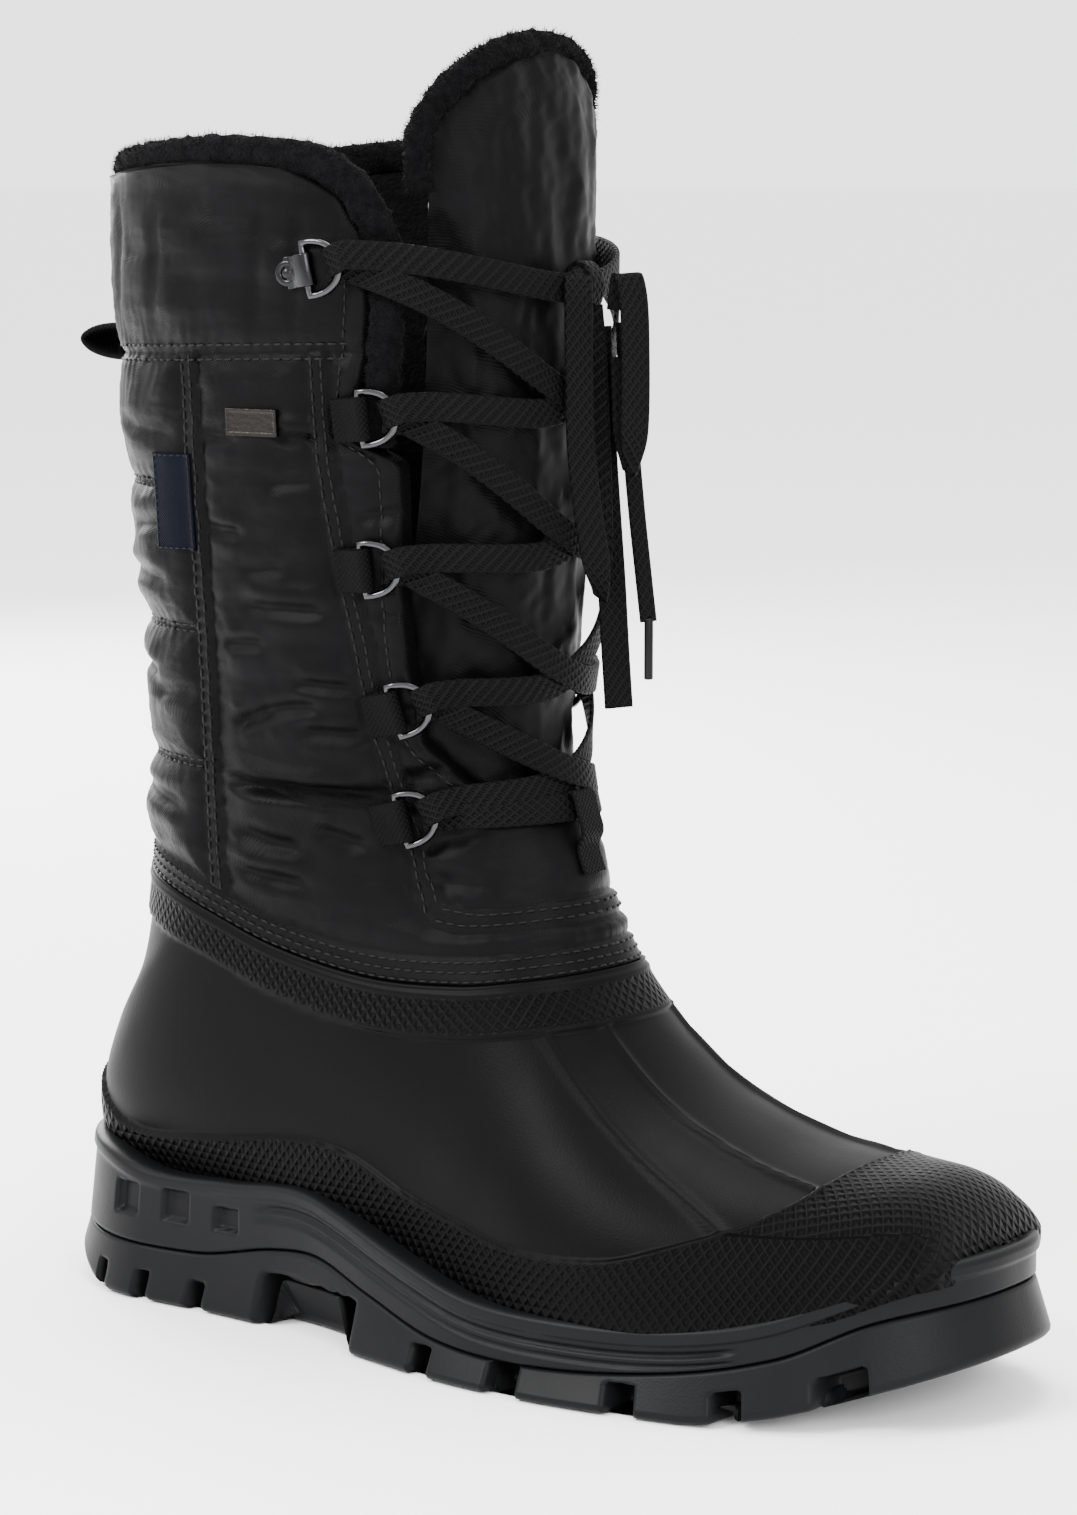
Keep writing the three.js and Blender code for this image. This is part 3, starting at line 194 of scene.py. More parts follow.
def formNormal(station, angle):
    step = 0.02
    ahead = formPoint(np.minimum(station + step, lastStation), angle) - formPoint(np.maximum(station - step, 0), angle)
    aside = formPoint(station, angle + step) - formPoint(station, angle - step)
    return unit(np.cross(ahead, aside))


def offForm(station, angle, offset):
    return formPoint(station, angle) + formNormal(station, angle) * np.asarray(offset, float)[..., None]


def stationAt(angle, heightAt):  # where the form crosses a line of heights
    angle = np.asarray(angle, float)
    low = np.full(angle.shape, instepStation)
    high = np.full(angle.shape, lastStation)
    for _ in range(24):
        middle = (low + high) / 2
        place = formPoint(middle, angle)
        below = place[..., 2] < heightAt(place[..., 0])
        low = np.where(below, middle, low)
        high = np.where(below, high, middle)
    return (low + high) / 2


def angleAcross(station, y):  # the angle in front at which a section is that far across
    columns = np.moveaxis(smoothAlong(stationKeys, sections, station), -1, 0)
    outer, inner, axis, crown = columns[4], columns[5], columns[6], columns[8]
    share = np.clip(np.abs(y - axis) / np.where(y < axis, outer, inner), 0, 1)
    angle = np.arcsin(share ** (crown / 2))
    return np.where(y < axis, angle, -angle)


def frontPlace(y, z):  # the station and angle in front at a width and a height
    y, z = np.broadcast_arrays(np.asarray(y, float), np.asarray(z, float))
    low = np.full(y.shape, instepStation + 1)
    high = np.full(y.shape, lastStation)
    for _ in range(26):
        middle = (low + high) / 2
        below = formPoint(middle, angleAcross(middle, y))[..., 2] < z
        low = np.where(below, middle, low)
        high = np.where(below, high, middle)
    return middle, angleAcross(middle, y)


def sidePlace(side, x, z):  # the station and angle on one side, seen from it
    x, z = np.broadcast_arrays(np.asarray(x, float), np.asarray(z, float))
    low = np.full(x.shape, 0.1)
    high = np.full(x.shape, 2.9)
    for _ in range(22):
        middle = (low + high) / 2
        station = stationAt(-side * middle, lambda _: z)
        ahead = formPoint(station, -side * middle)[..., 0] > x
        low = np.where(ahead, middle, low)
        high = np.where(ahead, high, middle)
    return stationAt(-side * middle, lambda _: z), -side * middle


def directionsAt(station, angle):  # the surface's forward, up and outward directions
    normal = formNormal(station, angle)
    up = unit(np.array([0.0, 0.0, 1.0]) - normal * normal[..., 2:3])
    forward = np.cross(up, normal)
    return np.where(forward[..., :1] < 0, -forward, forward), up, normal


# Meshes
def meshPiece(name, points, faces, coords=None, weld=0.00002, outward=None):
    points = np.asarray(points, float).reshape(-1, 3)
    faces = np.asarray(faces)
    if outward is not None:  # turn the faces so that they look outwards
        corners = points[faces]
        facing = np.cross(corners[:, 2] - corners[:, 0], corners[:, -1] - corners[:, 1])
        if (facing * np.asarray(outward).reshape(-1, 3)[faces[:, 0]]).sum() < 0:
            faces = faces[:, ::-1]
    mesh = bpy.data.meshes.new(name)
    mesh.from_pydata((points / 1000).tolist(), [], faces.tolist())
    if coords is not None:
        layer = mesh.uv_layers.new(name="cloth")
        layer.data.foreach_set("uv", (np.asarray(coords, float).reshape(-1, 2)[faces.ravel()] / 1000).ravel())
    mesh.polygons.foreach_set("use_smooth", np.ones(len(faces), bool))
    piece = bpy.data.objects.new(name, mesh)
    bpy.context.scene.collection.objects.link(piece)
    if weld:
        made = bmesh.new()
        made.from_mesh(mesh)
        bmesh.ops.remove_doubles(made, verts=made.verts, dist=weld)
        bmesh.ops.dissolve_degenerate(made, edges=made.edges, dist=weld / 4)
        made.to_mesh(mesh)
        made.free()
    return piece


def gridFaces(rows, columns, start=0):
    index = np.arange(rows * columns).reshape(rows, columns) + start
    return np.stack([index[:-1, :-1], index[:-1, 1:], index[1:, 1:], index[1:, :-1]], -1).reshape(-1, 4)


def arcCoords(points):  # lengths over the surface, across and along, for a pattern that follows it
    across = np.linalg.norm(np.diff(points, axis=1), axis=-1).cumsum(1)
    along = np.linalg.norm(np.diff(points, axis=0), axis=-1).cumsum(0)
    across = np.concatenate([np.zeros((len(points), 1)), across], 1)
    along = np.concatenate([np.zeros((1, points.shape[1])), along], 0)
    return np.stack([across, along], -1)


def gridPiece(name, points, coords=None, outward=None, weld=0.00002):
    coords = arcCoords(points) if coords is None else coords
    return meshPiece(name, points, gridFaces(*points.shape[:2]), coords, weld, outward)


def sweepPoints(path, normals, profile, closed=False, capped=True):
    path = np.asarray(path, float)
    profile = np.asarray(profile, float)
    if profile.ndim == 2:
        profile = np.repeat(profile[None], len(path), 0)
    ahead = unit(np.roll(path, -1, 0) - np.roll(path, 1, 0) if closed else np.gradient(path, axis=0))
    across = unit(np.cross(ahead, normals))
    out = unit(np.cross(across, ahead))
    points = path[:, None] + across[:, None] * profile[..., :1] + out[:, None] * profile[..., 1:2]
    if closed:
        points = np.concatenate([points, points[:1]])
    elif capped:
        middles = points.mean(1, keepdims=True)
        first = middles[:1] + (points[:1] - middles[:1]) * np.array([0, 0.7])[:, None, None]
        last = middles[-1:] + (points[-1:] - middles[-1:]) * np.array([0.7, 0])[:, None, None]
        points = np.concatenate([first, points, last])
    return np.concatenate([points, points[:, :1]], 1)


def sweepPiece(name, path, normals, profile, closed=False, capped=True):
    points = sweepPoints(path, normals, profile, closed, capped)
    outward = points - points[:, :-1].mean(1, keepdims=True)
    return gridPiece(name, points, outward=outward)


def roundedBar(width, thickness):  # a flat section with round edges
    edge = thickness / 2
    turns = np.linspace(0, np.pi / 2, 4)
    quarter = np.stack([width / 2 - edge + edge * np.sin(turns), edge * np.cos(turns)], -1)
    lower = quarter[::-1] * [1, -1]
    half = np.concatenate([quarter, lower])
    return np.concatenate([half, -half])


def selectOnly(*pieces):
    bpy.ops.object.select_all(action="DESELECT")
    for piece in pieces:
        piece.select_set(True)
    bpy.context.view_layer.objects.active = pieces[0]


def bevelActive(width, segments):
    bpy.ops.object.modifier_add(type="BEVEL")
    bevel = bpy.context.object.modifiers["Bevel"]
    bevel.width = width
    bevel.segments = segments
    bpy.ops.object.modifier_apply(modifier="Bevel")


def joinPieces(name, pieces):
    selectOnly(*pieces)
    bpy.ops.object.join()
    pieces[0].name = name
    pieces[0].data.name = name
    return pieces[0]


def finishPiece(piece, material, slot, *nodes):
    piece.data.materials.clear()
    piece.data.materials.append(material)
    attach(piece, "root")
    if nodes:
        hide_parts(*nodes)
    return piece


# Materials
def newMaterial(name, colour, roughness, metallic=0.0, sheen=0.0, specular=0.5):
    material = bpy.data.materials.new(name)
    material.use_nodes = True
    shader = material.node_tree.nodes["Principled BSDF"]
    shader.inputs["Base Color"].default_value = (*colour, 1)
    shader.inputs["Roughness"].default_value = roughness
    shader.inputs["Metallic"].default_value = metallic
    shader.inputs["Sheen Weight"].default_value = sheen
    shader.inputs["Sheen Roughness"].default_value = 0.5
    shader.inputs["Specular IOR Level"].default_value = specular
    return material


def node(material, kind, values=(), **settings):
    made = material.node_tree.nodes.new(kind)
    for key, value in settings.items():
        setattr(made, key, value)
    for key, value in dict(values).items():
        made.inputs[key].default_value = value
    return made


def link(material, source, sink):
    material.node_tree.links.new(source, sink)


def coordsOf(material, kind="Object"):
    if kind == "Object":
        return node(material, "ShaderNodeTexCoord").outputs["Object"]
    return node(material, "ShaderNodeUVMap", uv_map=kind).outputs["UV"]


def noiseOf(material, coords, scale, detail=3.0):
    made = node(material, "ShaderNodeTexNoise", {"Scale": scale, "Detail": detail})
    link(material, coords, made.inputs["Vector"])
    return made.outputs["Fac"]


def mathOf(material, operation, *values):
    made = node(material, "ShaderNodeMath", operation=operation)
    for i, value in enumerate(values):
        if isinstance(value, (int, float)):
            made.inputs[i].default_value = value
        else:
            link(material, value, made.inputs[i])
    return made.outputs[0]


def varyColour(material, height, dark, light):
    ramp = node(material, "ShaderNodeMix", data_type="RGBA")
    ramp.inputs[6].default_value = (*dark, 1)
    ramp.inputs[7].default_value = (*light, 1)
    link(material, height, ramp.inputs[0])
    link(material, ramp.outputs[2], material.node_tree.nodes["Principled BSDF"].inputs["Base Color"])


def varyRoughness(material, height, low, high):
    ranged = node(material, "ShaderNodeMapRange", {"To Min": low, "To Max": high})
    link(material, height, ranged.inputs["Value"])
    link(material, ranged.outputs[0], material.node_tree.nodes["Principled BSDF"].inputs["Roughness"])


def bumpFrom(material, height, distance, strength=1.0):
    bump = node(material, "ShaderNodeBump", {"Distance": distance, "Strength": strength})
    link(material, height, bump.inputs["Height"])
    earlier = material.node_tree.nodes["Principled BSDF"].inputs["Normal"]
    if earlier.is_linked:
        link(material, earlier.links[0].from_socket, bump.inputs["Normal"])
    link(material, bump.outputs[0], earlier)


def waves(material, coords, pitch, along):  # ridges at a pitch in metres, in a direction of the coords
    made = node(material, "ShaderNodeVectorMath", operation="DOT_PRODUCT")
    made.inputs[1].default_value = (*(2 * math.pi / pitch * np.array(along)), 0)
    link(material, coords, made.inputs[0])
    return mathOf(material, "SINE", made.outputs["Value"])


def crossedWaves(material, pitch, along):  # two sets of ridges that cross, each leaning its own way
    cloth = coordsOf(material, "cloth")
    mirrored = (-along[0], along[1])
    return mathOf(
        material, "MAXIMUM", waves(material, cloth, pitch, along), waves(material, cloth, pitch, mirrored)
    )


clothShine = 0.036


def clothMaterial(name, dark, light, roughness, pitch, depth):
    material = newMaterial(name, dark, roughness, specular=clothShine)
    place = coordsOf(material)
    cloth = coordsOf(material, "cloth")
    varyColour(material, noiseOf(material, place, 45, 5), dark, light)
    varyRoughness(material, noiseOf(material, place, 90), roughness - 0.07, roughness + 0.1)
    warp = waves(material, cloth, pitch, (1, 0))
    weft = waves(material, cloth, pitch, (0, 1))
    bumpFrom(material, mathOf(material, "MULTIPLY", warp, weft), depth)
    bumpFrom(material, noiseOf(material, place, 260, 4), 0.0004, 0.5)
    return material


# Cloths: dark and light colour, roughness, and the weave's pitch and depth in metres
cloths = {
    "nylon": ((0.0009, 0.00085, 0.00095), (0.0026, 0.0024, 0.0028), 0.36, 0.0009, 0.00003),
    "webbing": ((0.0009, 0.0009, 0.001), (0.0028, 0.0028, 0.003), 0.62, 0.0016, 0.0002),
    "label": ((0.0006, 0.001, 0.003), (0.0012, 0.002, 0.0052), 0.55, 0.0009, 0.00008),
}
materials = {name: clothMaterial(name, *settings) for name, settings in cloths.items()}
materials["thread"] = newMaterial("thread", (0.0012, 0.0012, 0.0013), 0.5, specular=0.12)

fleece = materials["fleece"] = newMaterial("fleece", (0.002, 0.002, 0.0022), 0.95, sheen=0.01, specular=0.02)
tufts = noiseOf(fleece, coordsOf(fleece), 400, 4)
varyColour(fleece, tufts, (0.0006, 0.0006, 0.0007), (0.0045, 0.0045, 0.005))
bumpFrom(fleece, noiseOf(fleece, coordsOf(fleece), 900, 6), 0.0012)

tape = materials["lace"] = newMaterial("lace", (0.0009, 0.0009, 0.001), 0.6, specular=0.045)
braid = {"pitch": 0.0019, "along": (0.8, 0.6), "depth": 0.0003}
braidRibs = crossedWaves(tape, braid["pitch"], braid["along"])
bumpFrom(tape, braidRibs, braid["depth"])
varyColour(tape, mathOf(tape, "ABSOLUTE", braidRibs), (0.0004, 0.0004, 0.0005), (0.0022, 0.0022, 0.0024))


def steelMaterial(name, colour, roughness, scratch):
    material = newMaterial(name, colour, roughness, metallic=1.0)
    place = coordsOf(material)
    varyRoughness(material, noiseOf(material, place, 320, 4), roughness - 0.06, roughness + 0.12)
    bumpFrom(material, noiseOf(material, place, 700, 3), scratch)
    return material


materials["ringSteel"] = steelMaterial("ringSteel", (0.045, 0.045, 0.047), 0.14, 0.00004)
materials["clipSteel"] = steelMaterial("clipSteel", (0.018, 0.018, 0.019), 0.2, 0.00006)
materials["plateSteel"] = steelMaterial("plateSteel", (0.016, 0.015, 0.0135), 0.3, 0.0003)
materials["tip"] = newMaterial("tip", (0.0012, 0.0012, 0.0013), 0.3, specular=0.12)


def rubberMaterial(name, low, high, shine):
    material = newMaterial(name, high, 0.4, specular=shine)
    place = coordsOf(material)
    varyColour(material, noiseOf(material, place, 30, 4), low, high)
    varyRoughness(material, noiseOf(material, place, 60), 0.36, 0.5)
    bumpFrom(material, noiseOf(material, place, 1500, 2), 0.00006)
    return material


materials["rubber"] = rubberMaterial("rubber", (0.0024, 0.0025, 0.0028), (0.0042, 0.0043, 0.0047), 0.07)
# The rubber foot: plain rubber, with a net of small cells on its rand and toe cap where the mask is 1
footRubber = materials["footRubber"] = rubberMaterial(
    "footRubber", (0.0009, 0.0009, 0.001), (0.0017, 0.0017, 0.0018), 0.036
)
net = {"pitch": 0.0025, "along": (0.78, 0.62), "depth": 0.0006}
netRibs = crossedWaves(footRubber, net["pitch"], net["along"])
netMask = node(footRubber, "ShaderNodeAttribute", attribute_name="netMask").outputs["Fac"]
bumpFrom(footRubber, mathOf(footRubber, "MULTIPLY", netRibs, netMask), net["depth"])
print("materials made")

# Lines that the CAD's foot and shaft follow, by the share of the sole's length
shellTop = lineThrough(
    [
        (0, 1.24), (0.1, 1.2), (0.2, 1.14), (0.3, 1.04), (0.4, 0.985), (0.5, 0.985), (0.57, 1.01), (0.63, 1.03),
        (0.7, 1.03),
    ],
    boot["instepHeight"],
)
flangeTop = lineThrough(
    [
        (0, 1.16), (0.07, 1.12), (0.15, 1), (0.24, 1.02), (0.33, 1.08), (0.4, 0.98), (0.48, 0.8),
        (0.57, 0.63), (0.68, 0.6), (0.77, 0.64), (0.85, 0.76), (0.92, 0.99), (0.96, 1.12), (1, 1.18),
    ],
    boot["heelHeight"],
)
partingLine = lineThrough(
    [
        (0, 0.45), (0.2, 0.42), (0.3, 0.57), (0.36, 0.6), (0.43, 0.46), (0.52, 0.27), (0.62, 0.22),
        (0.75, 0.3), (0.86, 0.48), (0.93, 0.74), (1, 0.88),
    ],
    boot["heelHeight"],
)
randTop = lineThrough(
    [
        (0, 1.85), (0.04, 1.45), (0.1, 1.25), (0.2, 1.31), (0.32, 1.44), (0.39, 1.4), (0.46, 1.2),
        (0.53, 1.08), (0.6, 1), (0.7, 1.04), (0.77, 1.21), (0.82, 1.36), (0.86, 1.6), (0.9, 2.2), (1, 3),
    ],
    boot["heelHeight"],
)
treadBottom = lineThrough(
    [(0, 0.28), (0.055, 0.12), (0.1, 0), (0.5, 0), (0.78, 0), (0.86, 0.1), (0.94, 0.3), (1, 0.46)],
    boot["heelHeight"],
)


def shellTopAt(x):
    return shellTop(np.clip(shareOf(x), 0, 0.7))


def collarRimAt(x):
    rows = [(0.05, 2.008), (0.15, 2.026), (0.25, 2.038), (0.33, 2.038), (0.44, 2.02), (0.6, 2.0)]
    return sharedZ(lineThrough(rows)(shareOf(x)))


def collarSeamAt(x):
    return sharedZ(lineThrough([(0.05, 1.763), (0.4, 1.78), (0.6, 1.78)])(shareOf(x)))


def frontSeamAt(z):  # how far forward the middle panel's front seam lies at a height
    rows = [(1.09, 0.47), (1.18, 0.452), (1.25, 0.437), (1.43, 0.42), (1.62, 0.4), (1.78, 0.395)]
    heights, shares = np.array(rows).T
    return sharedX(smoothAlong(sharedZ(heights), shares, z))


throatRows = [
    (1.208, 0.0), (1.22, 0.25), (1.245, 0.41), (1.3, 0.555), (1.39, 0.64), (1.48, 0.69), (1.64, 0.735),
    (1.82, 0.73), (1.9, 0.735), (1.965, 0.79), (2.0, 0.86), (2.02, 0.93), (2.036, 1.02),
]
throatHeights = sharedZ(np.array(throatRows)[:, 0])
throatHalves = np.array(throatRows)[:, 1] * boot["halfShaft"]


def throatHalfAt(z):
    return np.where(z < throatHeights[0], 0.0, np.interp(z, throatHeights, throatHalves))


def soften(distance, width):  # 0 at or below nothing, rising to 1 over a width
    t = np.clip(np.asarray(distance, float) / width, 0, 1)
    return t * t * (3 - 2 * t)


# The bow: its route as in the CAD, out and aside in lace widths and down as a share of its drop
lace = {
    "width": 8,
    "thickness": 1.6,
    "offset": 4.6,
    "knotHeight": 1.855,
    "bowDrop": 115,
    "endShare": 0.6,  # the width of the end with the tip
    "tipLength": 17,
    "tipRadius": 1.25,
    "foldReach": 7,  # how far up from its lowest point a loop is narrowed and turned
    "narrowing": 0.42,
    "twist": 0.7,
}
bowRows = {
    "bow_loop_outer": [
        (0.6, -0.3, -0.03), (0.95, -0.36, 0.03), (1.0, -0.35, 0.18), (1.0, -0.3, 0.35), (1.02, -0.1, 0.5),
        (1.04, 0.2, 0.63), (0.98, 0.4, 0.7), (0.74, 0.48, 0.73), (0.5, 0.5, 0.7), (0.42, 0.48, 0.6),
        (0.45, 0.42, 0.45), (0.45, 0.32, 0.3), (0.45, 0.22, 0.15), (0.45, 0.08, 0.04),
    ],
    "bow_loop_inner": [
        (0.5, 1.2, 0.05), (0.8, 1.28, -0.03), (1.05, 1.35, -0.03), (1.16, 1.5, 0.03), (1.16, 1.56, 0.15),
        (1.16, 1.56, 0.28), (1.12, 1.5, 0.38), (0.9, 1.42, 0.43), (0.68, 1.38, 0.39), (0.64, 1.36, 0.28),
        (0.6, 1.3, 0.16),
    ],
    "lace_end_outer": [
        (0.1, 0.5, 0.09), (0.1, 0.58, 0.25), (0.1, 0.7, 0.4), (0.1, 0.85, 0.55), (0.15, 1.0, 0.7),
        (0.2, 1.12, 0.85), (0.25, 1.25, 1.0),
    ],
    "lace_end_inner": [
        (0.25, 1.4, 0.08), (0.25, 1.48, 0.2), (0.3, 1.6, 0.35), (0.4, 1.8, 0.52), (0.6, 2.0, 0.67),
        (0.8, 2.15, 0.79),
    ],
}
knotStation, knotAngle = frontPlace(1.0, float(sharedZ(lace["knotHeight"])))
knotMiddle = offForm(knotStation, knotAngle, lace["offset"] + lace["thickness"])
bowOut = unit(np.array([0.75, -0.66, 0.0]))
bowAside = np.cross([0, 0, 1], bowOut)


def bowRoute(rows):
    rows = np.array(rows)
    points = knotMiddle + bowOut * rows[:, :1] * lace["width"] + bowAside * rows[:, 1:2] * lace["width"]
    points[:, 2] = knotMiddle[2] - rows[:, 2] * lace["bowDrop"]
    return evenAlong(points, 90)


def lengthOf(points):
    return float(lengthsAlong(points)[-1])


for name, rows in bowRows.items():
    route = bowRoute(rows)
    ahead = unit(np.gradient(route, axis=0))
    normals = unit(np.cross(bowAside, ahead))
    width = lace["width"] * (lace["endShare"] if name == "lace_end_inner" else 1)
    cup = np.linspace(0, 1, len(route))[:, None, None]
    profile = np.repeat(roundedBar(width, lace["thickness"] * 0.8)[None], len(route), 0)
    bend = 0.25 + 0.35 * np.sin(cup * 7 + len(name))  # the tape cups across its width, here more, there less
    profile[..., 1:2] += bend * ((profile[..., :1] / (width / 2)) ** 2 - 0.4)
    if "loop" in name:  # a loop folds narrower where it turns up again
        turning = np.exp(-(((route[:, 2] - route[:, 2].min()) / lace["foldReach"]) ** 2))[:, None]
        profile[..., 0] *= 1 - lace["narrowing"] * turning
        normals = unit(normals + bowAside * lace["twist"] * turning)
    piece = sweepPiece(name, route, normals, profile)
    finishPiece(piece, materials["lace"], "lace", name)
    if name != "lace_end_inner":
        lengthOf(route) / 1000
        "object" if "loop" in name else "bare"
    else:
        bpy.ops.object.select_all(action="DESELECT")
        bpy.ops.mesh.primitive_cylinder_add(
            vertices=20, radius=lace["tipRadius"] / 1000, depth=lace["tipLength"] / 1000
        )
        tip = bpy.context.object
        bevelActive(0.0004, 3)
        tip.location = Vector(route[-1] / 1000) - Vector((0, 0, lace["tipLength"] / 2000 - 0.001))
        bpy.ops.object.transform_apply(location=True, rotation=True, scale=True)
        bpy.ops.object.shade_smooth()
        tip.name = "lace_tip_dressed"
        finishPiece(tip, materials["tip"], "lace_tip", "lace_tip")
        lengthOf(route) / 1000
print("bow made:", {name: round(lengthOf(bowRoute(rows))) for name, rows in bowRows.items()}, "mm")

# The rings and the strands between them
ringSizes = {
    "height": 16.5,
    "reach": 12,
    "wire": 2,
    "offset": 4.3,
    "tab": (12, 8, 1.1),  # width, length and thickness of the folded webbing
    "clip": (9, 6.5, 0.9),  # and of the folded metal at the top ring
    "rivetBack": 6.2,
    "strandGap": 2.5,
}
# Along the sole, up the shaft, and the ring's lean in degrees
ringRows = [(0.383, 1.88, 10), (0.426, 1.701, 6), (0.421, 1.516, 6), (0.436, 1.34, 15), (0.433, 1.199, 15)]


class Place:  # a point of the form with its directions
    def __init__(self, station, angle, lean=0.0):
        self.point = formPoint(station, angle)
        forward, up, self.normal = directionsAt(station, angle)
        self.forward = forward * math.cos(lean) + np.cross(self.normal, forward) * math.sin(lean)
        self.up = up * math.cos(lean) + np.cross(self.normal, up) * math.sin(lean)

    def at(self, forward, up, out):
        return self.point + self.forward * forward + self.up * up + self.normal * out


ringPlaces = {}
for side in (-1, 1):
    for i, (share, height, lean) in enumerate(ringRows):
        station, angle = sidePlace(side, float(sharedX(share)), float(sharedZ(height)))
        ringPlaces[side, i] = Place(station, angle, -side * math.radians(lean))


def dRing(name, place):
    half = (ringSizes["height"] - ringSizes["wire"]) / 2
    reach = ringSizes["reach"] - ringSizes["wire"]
    turns = np.linspace(-np.pi / 2, np.pi / 2, 25)
    arc = np.stack([reach * np.cos(turns) ** 0.75, -half * np.sin(turns)], -1)
    bar = np.stack([np.zeros(9), np.linspace(-half, half, 11)[1:-1]], -1)
    path = np.array([place.at(u, w, ringSizes["offset"]) for u, w in np.concatenate([arc, bar])])
    turns = np.linspace(0, 2 * np.pi, 13)[:-1]
    wire = np.stack([np.cos(turns), np.sin(turns)], -1) * ringSizes["wire"] / 2
    return sweepPiece(name, path, np.repeat(place.normal[None], len(path), 0), wire, closed=True)


def foldedTape(name, place, width, length, thickness):  # a tape folded round a ring's bar
    radius = ringSizes["wire"] / 2 + 0.3 + thickness / 2
    offset = ringSizes["offset"]
    turns = np.linspace(-np.pi / 2, np.pi / 2, 11)
    path = [(-length, offset - radius - 0.6), (-length * 0.5, offset - radius - 0.2)]
    path += [(radius * math.cos(t), offset + radius * math.sin(t)) for t in turns]
    path += [(-length * 0.35, offset + radius * 0.35), (-length * 0.7, offset - radius + thickness)]
    path += [(-length, offset - radius + thickness * 0.8)]
    points = np.array([place.at(u, 0, w) for u, w in evenAlong(np.array(path), 40)])
    ahead = np.gradient(points, axis=0)
    normals = np.cross(np.repeat(place.up[None], len(points), 0), ahead)
    return sweepPiece(name, points, normals, roundedBar(width, thickness))


def settle(place, out, flatness):  # stands the new primitive on the surface, behind the ring's bar
    piece = bpy.context.object
    piece.scale = (1, 1, flatness)
    piece.rotation_euler = Vector(place.normal).to_track_quat("Z", "Y").to_euler()
    piece.location = Vector(place.at(-ringSizes["rivetBack"], 0, out) / 1000)
    bpy.ops.object.transform_apply(location=True, rotation=True, scale=True)
    bpy.ops.object.shade_smooth()
    return piece


def rivetAt(place):
    bpy.ops.object.select_all(action="DESELECT")
    bpy.ops.mesh.primitive_uv_sphere_add(segments=28, ring_count=16, radius=0.0017)
    return settle(place, 3.1, 1.2 / 1.7)


def washerAt(place):  # the clip's round foot, a low ring under the rivet's head
    bpy.ops.object.select_all(action="DESELECT")
    bpy.ops.mesh.primitive_torus_add(
        major_segments=40, minor_segments=12, major_radius=0.00265, minor_radius=0.0011
    )
    return settle(place, 3.0, 0.8)


for (side, i), place in ringPlaces.items():
    sideName = "outer" if side < 0 else "inner"
    ring = dRing(f"ring_{sideName}_{i + 1}_dressed", place)
    finishPiece(ring, materials["ringSteel"], "ring_steel", f"ring_{sideName}_{i + 1}")
    if i == 0:
        fold = foldedTape("clipFold", place, *ringSizes["clip"])
        clip = joinPieces(f"ring_clip_{sideName}_dressed", [fold, washerAt(place), rivetAt(place)])
        finishPiece(clip, materials["clipSteel"], "ring_steel", f"ring_clip_{sideName}")
    else:
        tab = foldedTape(f"ring_tab_{sideName}_{i + 1}_dressed", place, *ringSizes["tab"])
        finishPiece(tab, materials["webbing"], "webbing", f"ring_tab_{sideName}_{i + 1}")

crossings = [1.715, 1.543, 1.376, 1.249]  # heights up the shaft
apart = 2  # a strand lies this far above or below its ring's middle


def ringFront(side, i):
    return ringPlaces[side, i].at(ringSizes["reach"] + ringSizes["strandGap"], 0, 0)


def intoRing(side, i, over):  # the strand's last points, over or under the ring's front wire and through it
    place = ringPlaces[side, i]
    reach = ringSizes["reach"]
    offset = ringSizes["offset"]
    sign = 1 if over else -1
    rows = [(reach + 0.5, 2.1), (reach - 1.5, 1.9), (reach - 3.6, 0.9), (reach - 5.6, 0.2)]
    height = apart * sign
    return [place.at(u, height * (1 - k / 4), offset + sign * w) for k, (u, w) in enumerate(rows)]


def strand(i, j, rises, middle, lift, overs):
    start = ringFront(-1, i) + [0, 0, rises[0]]
    stop = ringFront(1, j) + [0, 0, rises[1]]
    across = np.linspace(start[1], stop[1], 44)
    height = smoothAlong([start[1], 0, stop[1]], [start[2], middle, stop[2]], across)
    station, angle = frontPlace(across, height)
    raised = lace["offset"] + lift * np.exp(-((across - 1) / 9.0) ** 2)
    route = offForm(station, angle, raised)
    normals = formNormal(station, angle)
    first = np.array(intoRing(-1, i, overs[0])[::-1])
    last = np.array(intoRing(1, j, overs[1]))
    whole = np.concatenate([first, route[2:-2], last])
    normals = np.concatenate(
        [
            np.repeat(ringPlaces[-1, i].normal[None], len(first), 0),
            normals[2:-2],
            np.repeat(ringPlaces[1, j].normal[None], len(last), 0),
        ]
    )
    lengths = lengthsAlong(whole)
    even = np.linspace(0, lengths[-1], 110)
    return smoothAlong(lengths, whole, even), unit(smoothAlong(lengths, normals, even))


strandPieces = []
strandPlan = []
for i, height in enumerate(crossings):
    strandPlan.append((i, i + 1, (-apart, apart), float(sharedZ(height)), 1.2, (False, True)))
    strandPlan.append((i + 1, i, (apart, -apart), float(sharedZ(height)), -0.8, (True, False)))
lowest = len(crossings)
lowestZ = float(ringFront(-1, lowest)[2]) - apart
strandPlan.append((lowest, lowest, (-apart, -apart), lowestZ, 0, (False, False)))
strandPlan.append((0, 0, (apart, apart), float(knotMiddle[2]), 0.6, (True, True)))
for k, plan in enumerate(strandPlan):
    route, normals = strand(*plan)
    profile = np.repeat(roundedBar(lace["width"], lace["thickness"] * 0.85)[None], len(route), 0)
    wave = 0.18 * np.sin(np.linspace(0, 11, len(route)) + k)[:, None, None]
    profile[..., 1:2] += wave * ((profile[..., :1] / 4) ** 2 - 0.4)
    strandPieces.append(sweepPiece(f"strand{k}", route, normals, profile))
laces = joinPieces("lace_crossings_dressed", strandPieces)
